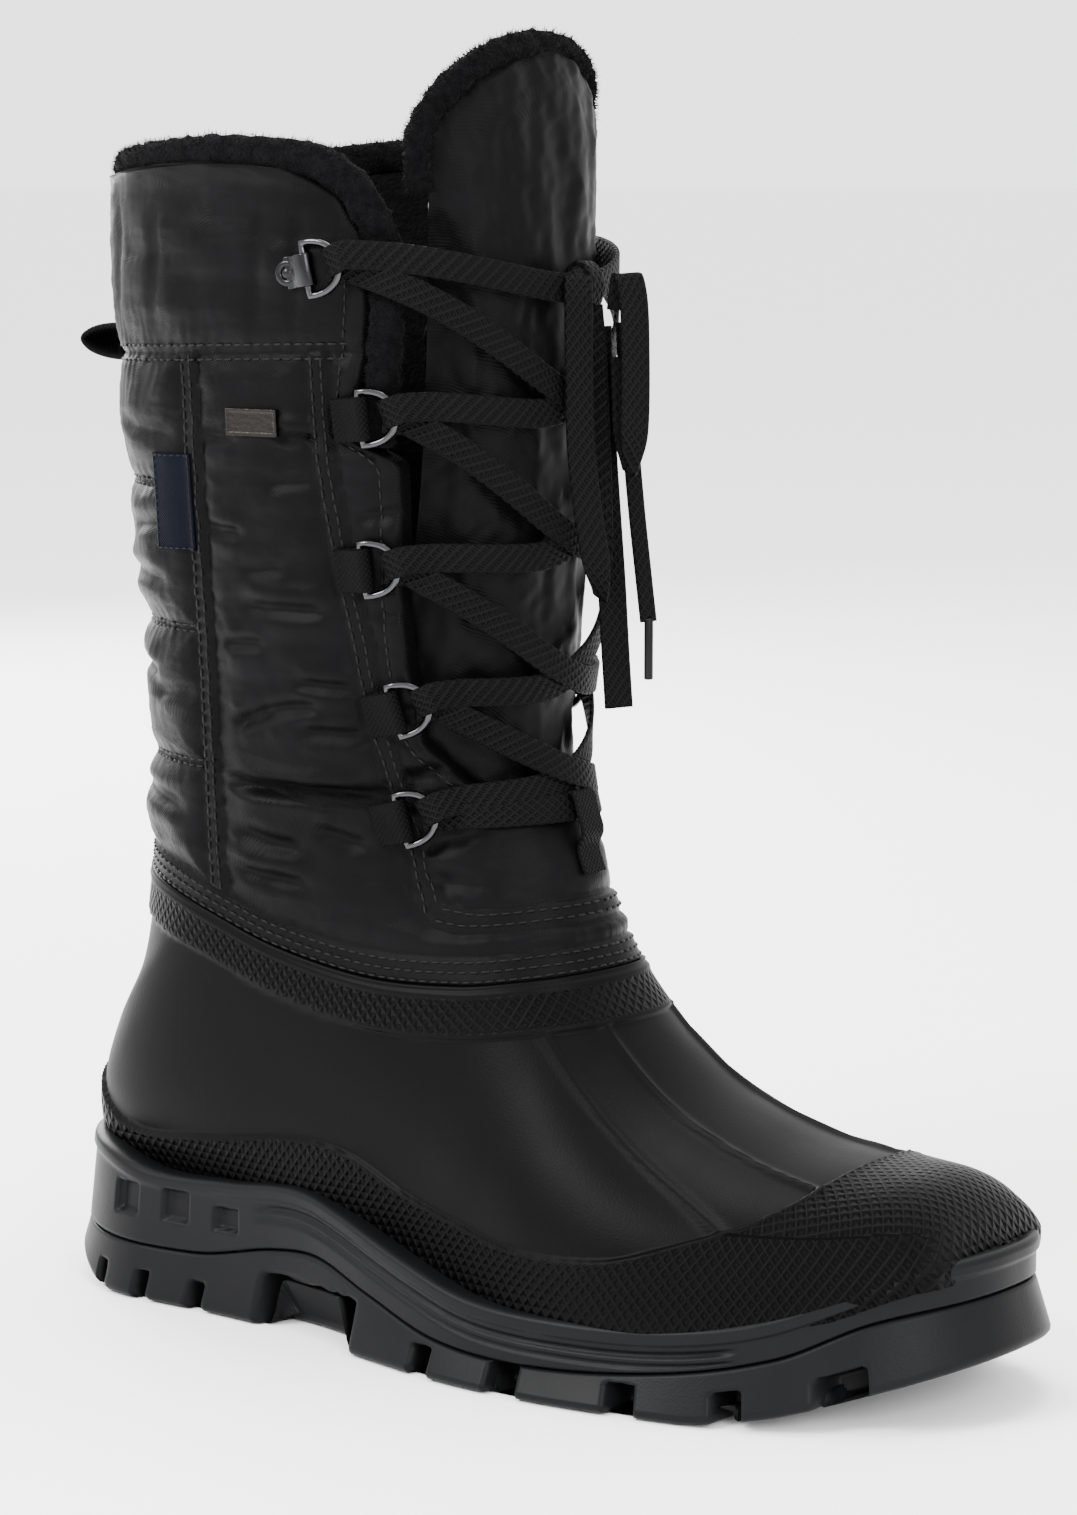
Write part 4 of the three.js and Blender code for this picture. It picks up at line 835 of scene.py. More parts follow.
finishPiece(laces, materials["lace"], "lace", "lace_crossings")

# The knot: the lace wound round itself, with a crossing band in front
knot = {
    "radii": (4.2, 6.6, 6.2),
    "wraps": [(0.5, 1.0), (-0.55, 0.93), (0.05, 1.08)],  # tilt and size
    "core": (4.0, 5.6, 5.4),
    "bandShare": 0.78,
}
knotBand = roundedBar(lace["width"] * knot["bandShare"], lace["thickness"])
knotPieces = []
for k, (tilt, size) in enumerate(knot["wraps"]):
    turns = np.linspace(0, 2 * np.pi, 49)[:-1]
    outwards = np.stack([np.cos(turns), np.sin(turns) * math.sin(tilt), np.sin(turns) * math.cos(tilt)], -1)
    around = outwards * np.array(knot["radii"]) * size
    knotPieces.append(sweepPiece(f"wrap{k}", knotMiddle + around, outwards, knotBand, closed=True))
bpy.ops.object.select_all(action="DESELECT")
bpy.ops.mesh.primitive_uv_sphere_add(
    segments=24, ring_count=14, radius=0.001, location=Vector(knotMiddle / 1000)
)
core = bpy.context.object
core.scale = knot["core"]
bpy.ops.object.transform_apply(location=True, rotation=True, scale=True)
bpy.ops.object.shade_smooth()
core.data.uv_layers[0].name = "cloth"
knotPieces.append(core)
finishPiece(joinPieces("lace_knot_dressed", knotPieces), materials["lace"], "lace", "lace_knot")
print("laces made")

# The shaft's outer skin: rows from the rubber foot's rim up to the collar's binding, columns from the throat's
# outer edge round the back to its inner edge
shaft = {
    "rows": 236,
    "columns": 290,
    "rearPuff": 3.3,
    "middlePuff": 2.4,
    "facingPuff": 2.3,
    "collarPuff": 3.4,
    "weltWidth": 6.5,
    "quiltLines": [1.606, 1.424, 1.251],
    "rearSeam": 35.0,
    "tuck": 3.3,  # how far it dives behind the rubber rim
}
# Creases in side view: x and z at both ends, depth, width
outerCreases = [
    (37, 252.6, 48, 252.2, 0.9, 2.2), (63, 253, 76, 252.3, 0.8, 2.2), (37, 226.6, 49, 226.2, 0.9, 2.4),
    (49, 206, 75, 205.4, 0.9, 2.6), (42, 195, 54, 195.4, 0.8, 2.3), (65, 185.4, 80, 184.6, 0.8, 2.3),
    (44, 172.6, 55, 177, 1.1, 2.6), (54, 176.8, 70, 179.4, 0.9, 2.6), (65, 171.8, 82, 171.2, 0.9, 2.4),
    (43, 155.4, 84, 154.6, 1.9, 2.6), (60, 240, 72, 241.4, 0.5, 2.2), (50, 216, 62, 217.4, 0.5, 2.2),
    (42, 142, 60, 138, 0.8, 3), (66, 144, 80, 140, 0.7, 2.6), (40, 131, 62, 128, 0.8, 2.6),
    (-8, 213, 18, 211, 0.9, 3), (2, 226, 22, 228.6, 0.7, 3), (-10, 186, 10, 183.5, 0.9, 3),
    (8, 178, 26, 180, 0.7, 2.8), (-6, 150, 20, 146, 0.9, 3), (2, 254, 24, 252, 0.8, 3.2),
    (90, 158, 106, 165, 0.9, 3), (92, 140, 108, 144, 0.9, 3), (88, 205, 100, 208, 0.5, 2.6),
    (95, 132, 112, 130, 0.7, 2.6), (86, 232, 98, 234, 0.5, 2.4), (92, 178, 104, 182, 0.7, 2.6),
]
innerCreases = [
    (38, 246, 60, 245, 0.8, 2.6), (46, 222, 74, 224, 0.9, 2.6), (40, 200, 66, 198, 0.8, 2.6),
    (50, 178, 78, 181, 1.0, 2.8), (42, 157, 84, 155.5, 1.7, 2.8), (44, 140, 70, 137, 0.8, 3),
    (-8, 216, 16, 213, 0.9, 3), (0, 184, 22, 187, 0.8, 3), (-6, 148, 20, 151, 0.9, 3),
    (90, 150, 106, 156, 0.9, 3), (90, 190, 102, 194, 0.6, 2.6), (4, 252, 24, 250, 0.8, 3.2),
]


def creaseRelief(x, z, rows):
    relief = np.zeros(x.shape)
    for x0, z0, x1, z1, depth, width in rows:
        depth = depth * 2.0
        width = width * 0.8
        length = math.hypot(x1 - x0, z1 - z0)
        along = ((x - x0) * (x1 - x0) + (z - z0) * (z1 - z0)) / length**2
        away = ((z - z0) * (x1 - x0) - (x - x0) * (z1 - z0)) / length
        fade = soften(along + 0.15, 0.35) * soften(1.15 - along, 0.35)
        relief -= depth * fade * np.exp(-((away / width) ** 2))
        relief += 0.45 * depth * fade * np.exp(-(((away - 2.1 * width) / (1.5 * width)) ** 2))
        relief += 0.35 * depth * fade * np.exp(-(((away + 2.1 * width) / (1.5 * width)) ** 2))
    return relief


def cloudy(points, size, seed, layers=3):  # soft irregular waves in space, from -1 to 1 or so
    numbers = np.random.default_rng(seed)
    total = np.zeros(points.shape[:-1])
    for layer in range(layers):
        for _ in range(5):
            direction = unit(numbers.normal(size=3)) * 2 * np.pi / (size / 1.8**layer)
            total += np.sin(points @ direction + numbers.uniform(0, 6.3)) * 0.45 / 1.7**layer
    return total / 1.6


heightShares = np.linspace(0, 1, shaft["rows"])
heightShares = np.concatenate([heightShares[:1], heightShares[1:]])
startDepth = 5.0  # the skin starts this far below the rubber rim


def rowHeight(share):
    def heightAt(x):
        low = shellTopAt(x) - startDepth
        high = collarRimAt(x) - boot["bindingWidth"] + 2.5
        return low + (high - low) * share
    return heightAt


edgeShare = heightShares
edgeAngles = {}
for side in (-1, 1):
    angle = np.full(len(edgeShare), 0.8)
    for _ in range(16):
        station = stationAt(-side * angle, rowHeight(edgeShare))
        z = formPoint(station, -side * angle)[:, 2]
        wanted = throatHalfAt(z)
        wanted = wanted + (boot["bindingWidth"] - 3) * soften(z - sharedZ(1.64), 8)
        found = np.abs(angleAcross(station, side * wanted))
        angle = 0.4 * angle + 0.6 * np.where(wanted <= 0, 0, found)
    edgeAngles[side] = np.where(angle < 0.004, 0.0, angle)

columnShare = np.linspace(-1, 1, shaft["columns"])
columnShare = np.sign(columnShare) * (1 - (1 - np.abs(columnShare)) ** 1.0)
# from the outer throat edge (-1) round the back (0) to the inner throat edge (1)
startAngle = edgeAngles[-1][:, None]
stopAngle = edgeAngles[1][:, None]
angles = np.where(
    columnShare[None] <= 0,
    np.pi - (np.pi - startAngle) * -columnShare[None],
    np.pi + (np.pi - stopAngle) * columnShare[None],
)
stations = stationAt(angles, rowHeight(heightShares[:, None]))
base = formPoint(stations, angles)
normals = formNormal(stations, angles)
x, y, z = np.moveaxis(base, -1, 0)
coords = arcCoords(base)
arc = coords[..., 0]
fromBack = arc - arc[:, x.shape[1] // 2][:, None]  # the same length, from the middle of the back


def crossingArc(lineX, half):  # how far round each row a line x = lineX is crossed, on one half
    columns = np.arange(x.shape[1])
    chosen = columns <= x.shape[1] // 2 if half < 0 else columns >= x.shape[1] // 2
    places = np.zeros(len(x))
    for row in range(len(x)):
        gapToLine = np.abs(x[row, chosen] - lineX[row])
        places[row] = fromBack[row, chosen][gapToLine.argmin()]
    return places


def smoothRows(values, reach=5):
    padded = np.pad(values, reach, mode="edge")
    return np.convolve(padded, np.ones(2 * reach + 1) / (2 * reach + 1), "valid")


middleRow = np.arange(len(x))
rowZ = z[:, x.shape[1] // 4]
outerHalf = np.arange(x.shape[1])[None] <= x.shape[1] // 2
rearArcs = {half: smoothRows(crossingArc(np.full(len(x), shaft["rearSeam"]), half)) for half in (-1, 1)}
frontArcs = {half: smoothRows(crossingArc(frontSeamAt(z[:, 20 if half < 0 else -20]), half)) for half in (-1, 1)}
sign = np.where(outerHalf, 1.0, -1.0)
rearDistance = sign * (fromBack - np.where(outerHalf, rearArcs[-1][:, None], rearArcs[1][:, None]))  # behind is plus
uprightDistance = sign * (np.where(outerHalf, frontArcs[-1][:, None], frontArcs[1][:, None]) - fromBack)  # ahead is plus


def seamFootAt(x):  # the front seam turns forward at this height and runs round under the throat
    return np.minimum(shellTopAt(x) + 21.5, throatHeights[0] - 3)


footDistance = z - seamFootAt(x)
cornerRound = 14.0
blend = np.clip(0.5 + 0.5 * (footDistance - uprightDistance) / cornerRound, 0, 1)
frontDistance = footDistance * (1 - blend) + uprightDistance * blend - cornerRound * blend * (1 - blend)
throatDistance = np.where(outerHalf, arc, arc[:, -1:] - arc)
throatDistance = np.where(z < throatHeights[0] - 1, 60.0, throatDistance)
collarDistance = z - collarSeamAt(x)
tapeDistance = z - (shellTopAt(x) + boot["tapeHeight"])
rimDistance = z - shellTopAt(x)


def puffed(height, softness, *distances):
    nearest = np.minimum.reduce(distances)
    return height * (1 - np.exp(-np.maximum(nearest, 0) / softness))


quiltZ = sharedZ(np.array(shaft["quiltLines"]))
quiltDistance = np.abs(z[..., None] - quiltZ).min(-1)
inCollar = collarDistance > 0
inTape = tapeDistance < 0
isRear = (rearDistance > 0) & ~inCollar & ~inTape
isFacing = (frontDistance > 0) & ~inCollar & ~inTape
isMiddle = ~isRear & ~isFacing & ~inCollar & ~inTape
welt = shaft["weltWidth"]
rearWelt = isRear & (rearDistance < welt)
frontWelt = isMiddle & (frontDistance > -welt)
relief = np.zeros(x.shape)
relief = np.where(inCollar, puffed(shaft["collarPuff"], 6, collarDistance, throatDistance + 1), relief)
rearBody = puffed(shaft["rearPuff"], 4.2, quiltDistance, rearDistance - welt, -collarDistance, tapeDistance)
relief = np.where(isRear, rearBody, relief)
relief = np.where(
    isMiddle, puffed(shaft["middlePuff"], 3.5, -rearDistance, -frontDistance - welt, -collarDistance, tapeDistance), relief
)
relief = np.where(isFacing, puffed(shaft["facingPuff"], 3.2, frontDistance, -collarDistance, tapeDistance), relief)
weltHeight = 1.3
relief = np.where(rearWelt, weltHeight * soften(rearDistance, 1.2) * soften(welt - rearDistance, 1.2) + 0.1, relief)
relief = np.where(frontWelt, weltHeight * soften(-frontDistance, 1.2) * soften(welt + frontDistance, 1.2) + 0.1, relief)
relief = np.where(inTape, 0.9 * soften(-tapeDistance, 1.4), relief)
quiet = np.where(inTape | rearWelt | frontWelt, 0.2, 1.0)
outerCrease = creaseRelief(x, z, outerCreases)
innerCrease = creaseRelief(x, z, innerCreases)
relief += quiet * np.where(y < 0, outerCrease, innerCrease) * soften(np.abs(y), 14)
relief += quiet * 0.5 * cloudy(base * [1, 1, 1.8], 34, 3)
relief += quiet * 0.13 * cloudy(base * [1, 1, 2.4], 11, 5)
# Fine gathers where the cloth runs into a seam
gather = np.sin(2 * np.pi * arc / 4.6 + 3.4 * cloudy(base, 19, 9))
relief += 0.17 * gather * np.exp(-np.abs(collarDistance) / 8) * ~inTape * quiet
relief += 0.18 * gather * np.exp(-quiltDistance / 4) * isRear * ~rearWelt
relief += 0.16 * gather * np.exp(-np.maximum(tapeDistance, 0) / 6) * ~inTape * quiet
cross = np.sin(2 * np.pi * z / 5.2 + 1.7 * cloudy(base, 15, 11))
relief += 0.22 * cross * np.exp(-np.abs(rearDistance + 1) / 5) * isMiddle
relief += 0.22 * cross * np.exp(-np.maximum(frontDistance, 0) / 4) * isFacing
# Vertical creases of the collar beside the clip
for creaseX in (58, 70, 84, 20, 0):
    relief -= inCollar * 0.9 * np.exp(-(((x - creaseX - 0.12 * (z - 290)) / 2.4) ** 2)) * soften(z - 278, 12) * soften(318 - z, 10)
# The edge rolls in at the throat, and the foot of the skin dives behind the rubber rim
stitched = np.abs(throatDistance - 7.5)
relief -= 0.5 * np.exp(-((stitched / 1.1) ** 2)) * (z < 296) * (z > throatHeights[0])
roll = 1 - soften(throatDistance, 3.2)
relief = relief * (1 - roll) - 3.6 * roll**2
dive = 1 - soften(rimDistance + 0.2, 1.6)
relief = relief * (1 - dive) - shaft["tuck"] * dive
skin = base + normals * relief[..., None]
shaftSkin = gridPiece("shaftSkin", skin, coords, outward=normals)
print("shaft's skin made:", len(shaftSkin.data.polygons), "faces")

# Its lining, a coarser skin inside
liningRows = slice(None, None, 4)
lining = base[liningRows, ::4] - normals[liningRows, ::4] * boot["shaftWall"]
liningSkin = gridPiece("shaftLining", lining, outward=-normals[liningRows, ::4])
finishPiece(liningSkin, materials["fleece"], "fleece", "shaft")
finishPiece(shaftSkin, materials["nylon"], "nylon", "shaft")
shaftSkin.name = "shaft_dressed"
liningSkin.name = "shaft_lining"

shaftTree = BVHTree.FromObject(shaftSkin, bpy.context.evaluated_depsgraph_get())


def ontoSkin(points, directions, tree, lift=0.0):  # the skin below each point, and how it faces there
    found = []
    facing = []
    for point, direction in zip(points, directions):
        origin = Vector((point + direction * 14) / 1000)
        hit, normal, _, _ = tree.ray_cast(origin, Vector(-direction), 0.03)
        if hit is None:
            found.append(point + direction * 1.5)
            facing.append(direction)
        else:
            found.append(np.array(hit) * 1000 + np.array(normal) * lift)
            facing.append(np.array(normal))
    return np.array(found), np.array(facing)


# Stitches, each a short rounded thread laid along its line
stitch = {"pitch": 3.3, "length": 2.4, "radius": 0.42}
stitchPoints = []
stitchFaces = []
stitchCount = 0


def sewAlong(points, directions, tree, pitch=stitch["pitch"], length=stitch["length"], radius=stitch["radius"]):
    global stitchCount
    lengths = np.r_[0, np.linalg.norm(np.diff(points, axis=0), axis=1).cumsum()]
    if lengths[-1] < pitch:
        return
    places = np.arange(pitch / 2, lengths[-1], pitch)
    middle, facing = ontoSkin(
        smoothAlong(lengths, points, places), unit(smoothAlong(lengths, directions, places)), tree, 0.05
    )
    ahead = unit(np.gradient(middle, axis=0)) if len(middle) > 1 else np.array([[0, 0, 1.0]])
    aside = unit(np.cross(facing, ahead))
    sides = 5
    turns = np.arange(sides) * 2 * np.pi / sides
    rings = [(-0.5, 0.45), (-0.25, 1.0), (0.25, 1.0), (0.5, 0.45)]
    for point, a, b, c in zip(middle, ahead, aside, facing):
        for along, size in rings:
            for t in turns:
                stitchPoints.append(point + a * length * along + (b * math.cos(t) + c * math.sin(t)) * radius * size)
        for r in range(len(rings) - 1):
            for s in range(sides):
                n = (s + 1) % sides
                first = stitchCount + r * sides
                stitchFaces.append((first + s, first + n, first + sides + n, first + sides + s))
        stitchCount += sides * len(rings)


def seamPoints(rowPick, columnPick):
    return base[rowPick, columnPick], normals[rowPick, columnPick]


def sewRow(heightAt, chosen, lift=0.0):  # a row of stitches at a height, where chosen columns allow it
    columns = np.arange(0, x.shape[1])
    rows = np.abs(z - heightAt(x)).argmin(0)
    keep = chosen[rows, columns]
    points, directions = seamPoints(rows, columns)
    cuts = np.flatnonzero(np.diff(keep.astype(int))) + 1
    for group in np.split(columns, cuts):
        if len(group) > 4 and keep[group[0]]:
            exact = points[group].copy()
            exact[:, 2] = heightAt(exact[:, 0])
            sewAlong(exact, directions[group], shaftTree)


def sewColumn(distance, wanted, chosen, half):  # stitches up a seam, at a distance from it
    rows = np.arange(len(x))
    columns = np.arange(x.shape[1])
    side = columns <= x.shape[1] // 2 if half < 0 else columns > x.shape[1] // 2
    masked = np.where(side[None], np.abs(distance - wanted), 1e9)
    picks = masked.argmin(1)
    keep = chosen[rows, picks] & (masked[rows, picks] < 1.5)
    points, directions = seamPoints(rows, picks)
    points = np.stack([smoothRows(points[:, k], 3) for k in range(3)], -1)
    cuts = np.flatnonzero(np.diff(keep.astype(int))) + 1
    for group in np.split(rows, cuts):
        if len(group) > 6 and keep[group[0]]:
            sewAlong(points[group], directions[group], shaftTree)


def sewForward(wanted, half):  # stitches along the front seam's foot, which runs forward
    columns = np.arange(x.shape[1])
    columns = columns[columns <= x.shape[1] // 2] if half < 0 else columns[columns > x.shape[1] // 2]
    masked = np.where(footDistance < uprightDistance, np.abs(frontDistance - wanted), 1e9)[:, columns]
    picks = masked.argmin(0)
    columns, picks = columns[masked.min(0) < 1.5], picks[masked.min(0) < 1.5]
    points, directions = seamPoints(picks, columns)
    points = np.stack([smoothRows(points[:, k], 3) for k in range(3)], -1)
    if len(points) > 6:
        sewAlong(points, directions, shaftTree)


everywhere = np.ones(x.shape, bool)
clearOfThroat = throatDistance > 5
for offset in (-1.8, 2.2):
    sewRow(lambda at, offset=offset: collarSeamAt(at) + offset, clearOfThroat)
for share in shaft["quiltLines"]:
    for offset in (-0.9, 0.9):
        sewRow(lambda at, share=share, offset=offset: sharedZ(share) + 0 * at + offset, isRear & (rearDistance > welt))
for offset in (2.0, 4.6, 7.2):
    sewRow(lambda at, offset=offset: shellTopAt(at) + offset, everywhere)
for half in (-1, 1):
    for wanted in (1.9, 4.9):
        sewColumn(rearDistance, wanted, ~inCollar & ~inTape, half)
    for wanted in (-1.9, -4.9):
        sewColumn(np.where(uprightDistance <= footDistance, frontDistance, 99), wanted, ~inCollar & ~inTape, half)
        sewForward(wanted, half)
    sewColumn(throatDistance, 7.5, (z > throatHeights[0] + 2) & (z < 300), half)
print("stitches:", stitchCount // 20)

# The rubber foot
foot = {"rows": 330, "rim": 13, "pitch": 3.4}
upperAngles = np.linspace(0, np.pi, 120)
lowerAngles = np.pi / 2 + np.arcsin(np.linspace(0, 1, 46) ** 2.5)
half = np.unique(np.round(np.concatenate([upperAngles, lowerAngles]), 5))
footAngles = np.concatenate([half, (2 * np.pi - half[::-1])[1:]])
rimStation = stationAt(footAngles, shellTopAt)
rowShare = np.linspace(0.0, 1.0, foot["rows"]) ** 1.0
footStations = rowShare[:, None] * rimStation[None]
footAnglesGrid = np.repeat(footAngles[None], foot["rows"], 0)
footBase = formPoint(footStations, footAnglesGrid)
footNormals = formNormal(np.maximum(footStations, 0.05), footAnglesGrid)
fx, fy, fz = np.moveaxis(footBase, -1, 0)
slopeStep = 1.0
randSlope = (randTop(shareOf(fx + slopeStep)) - randTop(shareOf(fx - slopeStep))) / (2 * slopeStep)
randDistance = (randTop(shareOf(fx)) - fz) / np.sqrt(1 + randSlope**2)
bandDistance = fz - (shellTopAt(fx) - foot["rim"])
footRelief = boot["rubberStep"] * soften(randDistance + 0.5, 1.0)
footRelief += 0.25 * np.exp(-(((randDistance - 0.5) / 0.6) ** 2))  # the rand's raised edge
aboveFlange = np.maximum(fz - flangeTop(np.clip(shareOf(fx), 0, 1)), 0)
footRelief += 2.8 * np.exp(-aboveFlange / 5.5) * soften(randDistance, 4)  # it spreads out on to the flange
bandRows = bandDistance > -0.5
footRelief += boot["rubberStep"] * soften(bandDistance + 0.5, 1.0)
footRelief += 0.5 * np.exp(-(((bandDistance - foot["rim"] + 1.6) / 1.1) ** 2))  # its lip


# Ridges run forward over the vamp from the top band to the toe cap
def ridgeRelief(points, rows):
    best = np.full(points.shape[:-1], 99.0)
    rows = np.array(rows)
    for start, stop in zip(rows[:-1], rows[1:]):
        along = np.clip(((points[..., :2] - start) @ (stop - start)) / ((stop - start) @ (stop - start)), 0, 1)
        nearest = start + along[..., None] * (stop - start)
        best = np.minimum(best, np.linalg.norm(points[..., :2] - nearest, axis=-1))
    return best


plan = {"halfBall": boot["halfBall"], "toeTurn": 0.09}
for mirror in (-1, 1):
    for (x0, y0), (x1, y1) in [((0.5, 0.469), (0.86, 0.842)), ((0.56, 0.287), (0.93, 0.41))]:
        shares = np.linspace(0, 1, 12)
        ridgeX = sharedX(x0 + (x1 - x0) * shares)
        ridgeY = mirror * (y0 + (y1 - y0) * shares) * plan["halfBall"] + plan["toeTurn"] * plan["halfBall"] * shares
        distance = ridgeRelief(footBase, np.stack([ridgeX, ridgeY], -1))
        inside = (fz > 40) * soften(1 - bandDistance, 1.5) * soften(1 - randDistance, 1.5)
        profile = 1.3 * np.exp(-((distance / 1.2) ** 2))
        footRelief += profile * inside * (footNormals[..., 2] > 0.15)
footSkin = footBase + footNormals * footRelief[..., None]

# Over the rim and down inside
rimRows = []
rimNormals = []
for offset, drop, lift in [(1.5, 0.0, 0.6), (0.6, 0.0, 1.1), (-0.8, 0.0, 1.1), (-2.2, 0.0, 0.7), (-3.0, 0.0, 0.0), (-3.0, 0.02, 0.0), (-3.0, 0.06, 0.0)]:
    station = rimStation * (1 - drop)
    rimRows.append(offForm(station, footAngles, np.full(station.shape, offset)) + [0, 0, lift])
    rimNormals.append(formNormal(station, footAngles))
footPoints = np.concatenate([footSkin, np.array(rimRows)])
footCoords = arcCoords(footBase)
footCoords = np.concatenate([footCoords, np.repeat(footCoords[-1:], len(rimRows), 0)])
outward = np.concatenate([footNormals, footNormals[-1:], np.repeat(footNormals[-1:] * 0, len(rimRows) - 1, 0)])
band = soften(bandDistance - 1.2, 0.6) * soften(foot["rim"] - 2.6 - bandDistance, 0.6)
mask = np.maximum(soften(randDistance - 0.8, 0.6), band)
# The net runs round the foot on its walls, and straight over the toe
toeCentre = (190, 6)
toeTurn = np.arctan2(fx - toeCentre[0], np.abs(fy - toeCentre[1]))
toeReach = 54
wallRun = np.where(fx < toeCentre[0], toeCentre[0] - fx, -toeReach * toeTurn)
heelCentre = 10
heelRun = toeCentre[0] - heelCentre + 32 * np.arctan2(heelCentre - fx, np.maximum(np.abs(fy - toeCentre[1] * 0), 0.01))
wallRun = np.where(fx < heelCentre, heelRun, wallRun)
wallRun = wallRun * np.where(fy < toeCentre[1], 1, -1)
overToe = (footNormals[..., 2] > 0.62) & (fx > 120) & (randDistance > -2)
# and round the band by its turn about the ankle
bandTurn = np.unwrap(np.arctan2(fy, fx - 62), axis=1)
bandTurn = bandTurn * np.sign(bandTurn[-1, -1] - bandTurn[-1, 0])
bandAround = np.interp(bandTurn, bandTurn[-1], footCoords[foot["rows"] - 1, :, 0])
bandUp = bandDistance / np.sqrt(np.maximum(1 - footNormals[..., 2] ** 2, 0.3))
netU = np.where(overToe, fy, wallRun)
netV = np.where(overToe, fx * 0.97 - fz * 0.6, fz * 1.08)
netU = np.where(bandDistance > -6, bandAround, netU)
netV = np.where(bandDistance > -6, bandUp, netV)
footCoords[: foot["rows"]] = np.stack([netU, netV], -1)
mask = np.concatenate([mask, np.zeros((len(rimRows), mask.shape[1]))])
faces = gridFaces(*footPoints.shape[:2])
hiddenBelow = (flangeTop(np.clip(shareOf(footPoints[..., 0]), 0, 1)) - 6 - footPoints[..., 2]).ravel()
faces = faces[~(hiddenBelow[faces] > 0).all(1)]
shellPiece = meshPiece("shell_dressed", footPoints, faces, footCoords, weld=0, outward=outward)
attribute = shellPiece.data.attributes.new("netMask", "FLOAT", "POINT")
attribute.data.foreach_set("value", mask.ravel().astype(np.float32))
made = bmesh.new()
made.from_mesh(shellPiece.data)
bmesh.ops.delete(made, geom=[v for v in made.verts if not v.link_faces], context="VERTS")
bmesh.ops.remove_doubles(made, verts=made.verts, dist=0.00002)
made.to_mesh(shellPiece.data)
made.free()
finishPiece(shellPiece, footRubber, "foot_rubber", "shell")
print("rubber foot made:", len(shellPiece.data.polygons), "faces")

# The sole: walls round its plan, from the tread's middle out, up its side and back in
sole = {
    "points": 900,
    "treadFlare": 4,
    "heelFlare": 2.5,
    "heelRound": 0.14,
    "toeRound": 0.253,
    "lugDepth": 7,
    "notches": [
        (0.085, 0.1), (0.138, 0.157), (0.203, 0.225), (0.5, 0.525), (0.59, 0.625), (0.71, 0.74), (0.805, 0.832),
        (0.885, 0.925),
    ],
    "waist": (0.287, 0.425),
    "waistRoof": 13.7,
    "pockets": (0.1, 0.062, 0.032),
    "groove": (0.27, 0.84),
}
solePlan = np.array(
    [
        (0, 0, 0.74, 0.74), (0.14, 0, 0.75, 0.74), (0.24, 0, 0.745, 0.69), (0.34, 0, 0.79, 0.66), (0.44, 0.01, 0.93, 0.7),
        (0.55, 0.03, 1.05, 0.82), (0.66, 0.06, 1.07, 0.93), (0.78, 0.11, 1.01, 0.95), (0.9, 0.17, 0.92, 0.86),
        (1, 0.21, 0.86, 0.76),
    ]
)


def roundedEnd(distance, power):
    return (1 - (1 - np.clip(distance, 0, 1)) ** power) ** (1 / power)


def planPoint(share, side, grow):  # side is 1 on the outer side, where y is negative, and -1 on the inner
    axis, outer, inner = np.moveaxis(smoothAlong(solePlan[:, 0], solePlan[:, 1:], share), -1, 0)
    blunt = roundedEnd(share / sole["heelRound"], 2) * roundedEnd((1 - share) / sole["toeRound"], 2.3)
    grow = grow + sole["heelFlare"] * np.clip(1 - share / 0.3, 0, 1) * 0
    half = np.maximum((np.where(side > 0, outer, inner) * boot["halfBall"] + grow) * blunt, 0.02)
    return np.stack([sharedX(share) + grow * (2 * share - 1), axis * boot["halfBall"] - side * half], -1)


dense = (1 - np.cos(np.linspace(0, np.pi, 1500))) / 2
outline = np.concatenate([planPoint(dense, np.ones(1500), 0), planPoint(dense[::-1], -np.ones(1500), 0)])
outlineShare = np.concatenate([dense, dense[::-1]])
outlineSide = np.concatenate([np.ones(1500), -np.ones(1500)])
outlineLength = np.r_[0, np.linalg.norm(np.diff(outline, axis=0), axis=1).cumsum()]
even = np.linspace(0, outlineLength[-1], sole["points"])
share = np.interp(even, outlineLength, outlineShare)
soleSide = np.where(even < np.interp(1500, np.arange(3000), outlineLength), 1.0, -1.0)
treadZ = np.maximum(treadBottom(share), 0)
partZ = partingLine(share)
flangeZ = flangeTop(share)
flare = sole["heelFlare"] * np.clip(1 - share / 0.3, 0, 1)
middleLine = np.stack([sharedX(share), smoothAlong(solePlan[:, 0], solePlan[:, 1], share) * boot["halfBall"]], -1)


def soleRow(grow, height, inward=None):
    edge = planPoint(share, soleSide, grow)
    if inward is not None:
        away = edge - middleLine
        distance = np.maximum(np.linalg.norm(away, axis=-1, keepdims=True), 1e-6)
        inset = np.minimum(np.asarray(inward, float).reshape(-1, 1) if np.ndim(inward) else inward, distance)
        edge = edge - away / distance * inset
    return np.concatenate([edge, np.broadcast_to(height, share.shape)[:, None]], -1)


def between(low, high, soft):  # 1 between two shares, softened at both ends
    return soften(share - low, soft) * soften(high - share, soft)


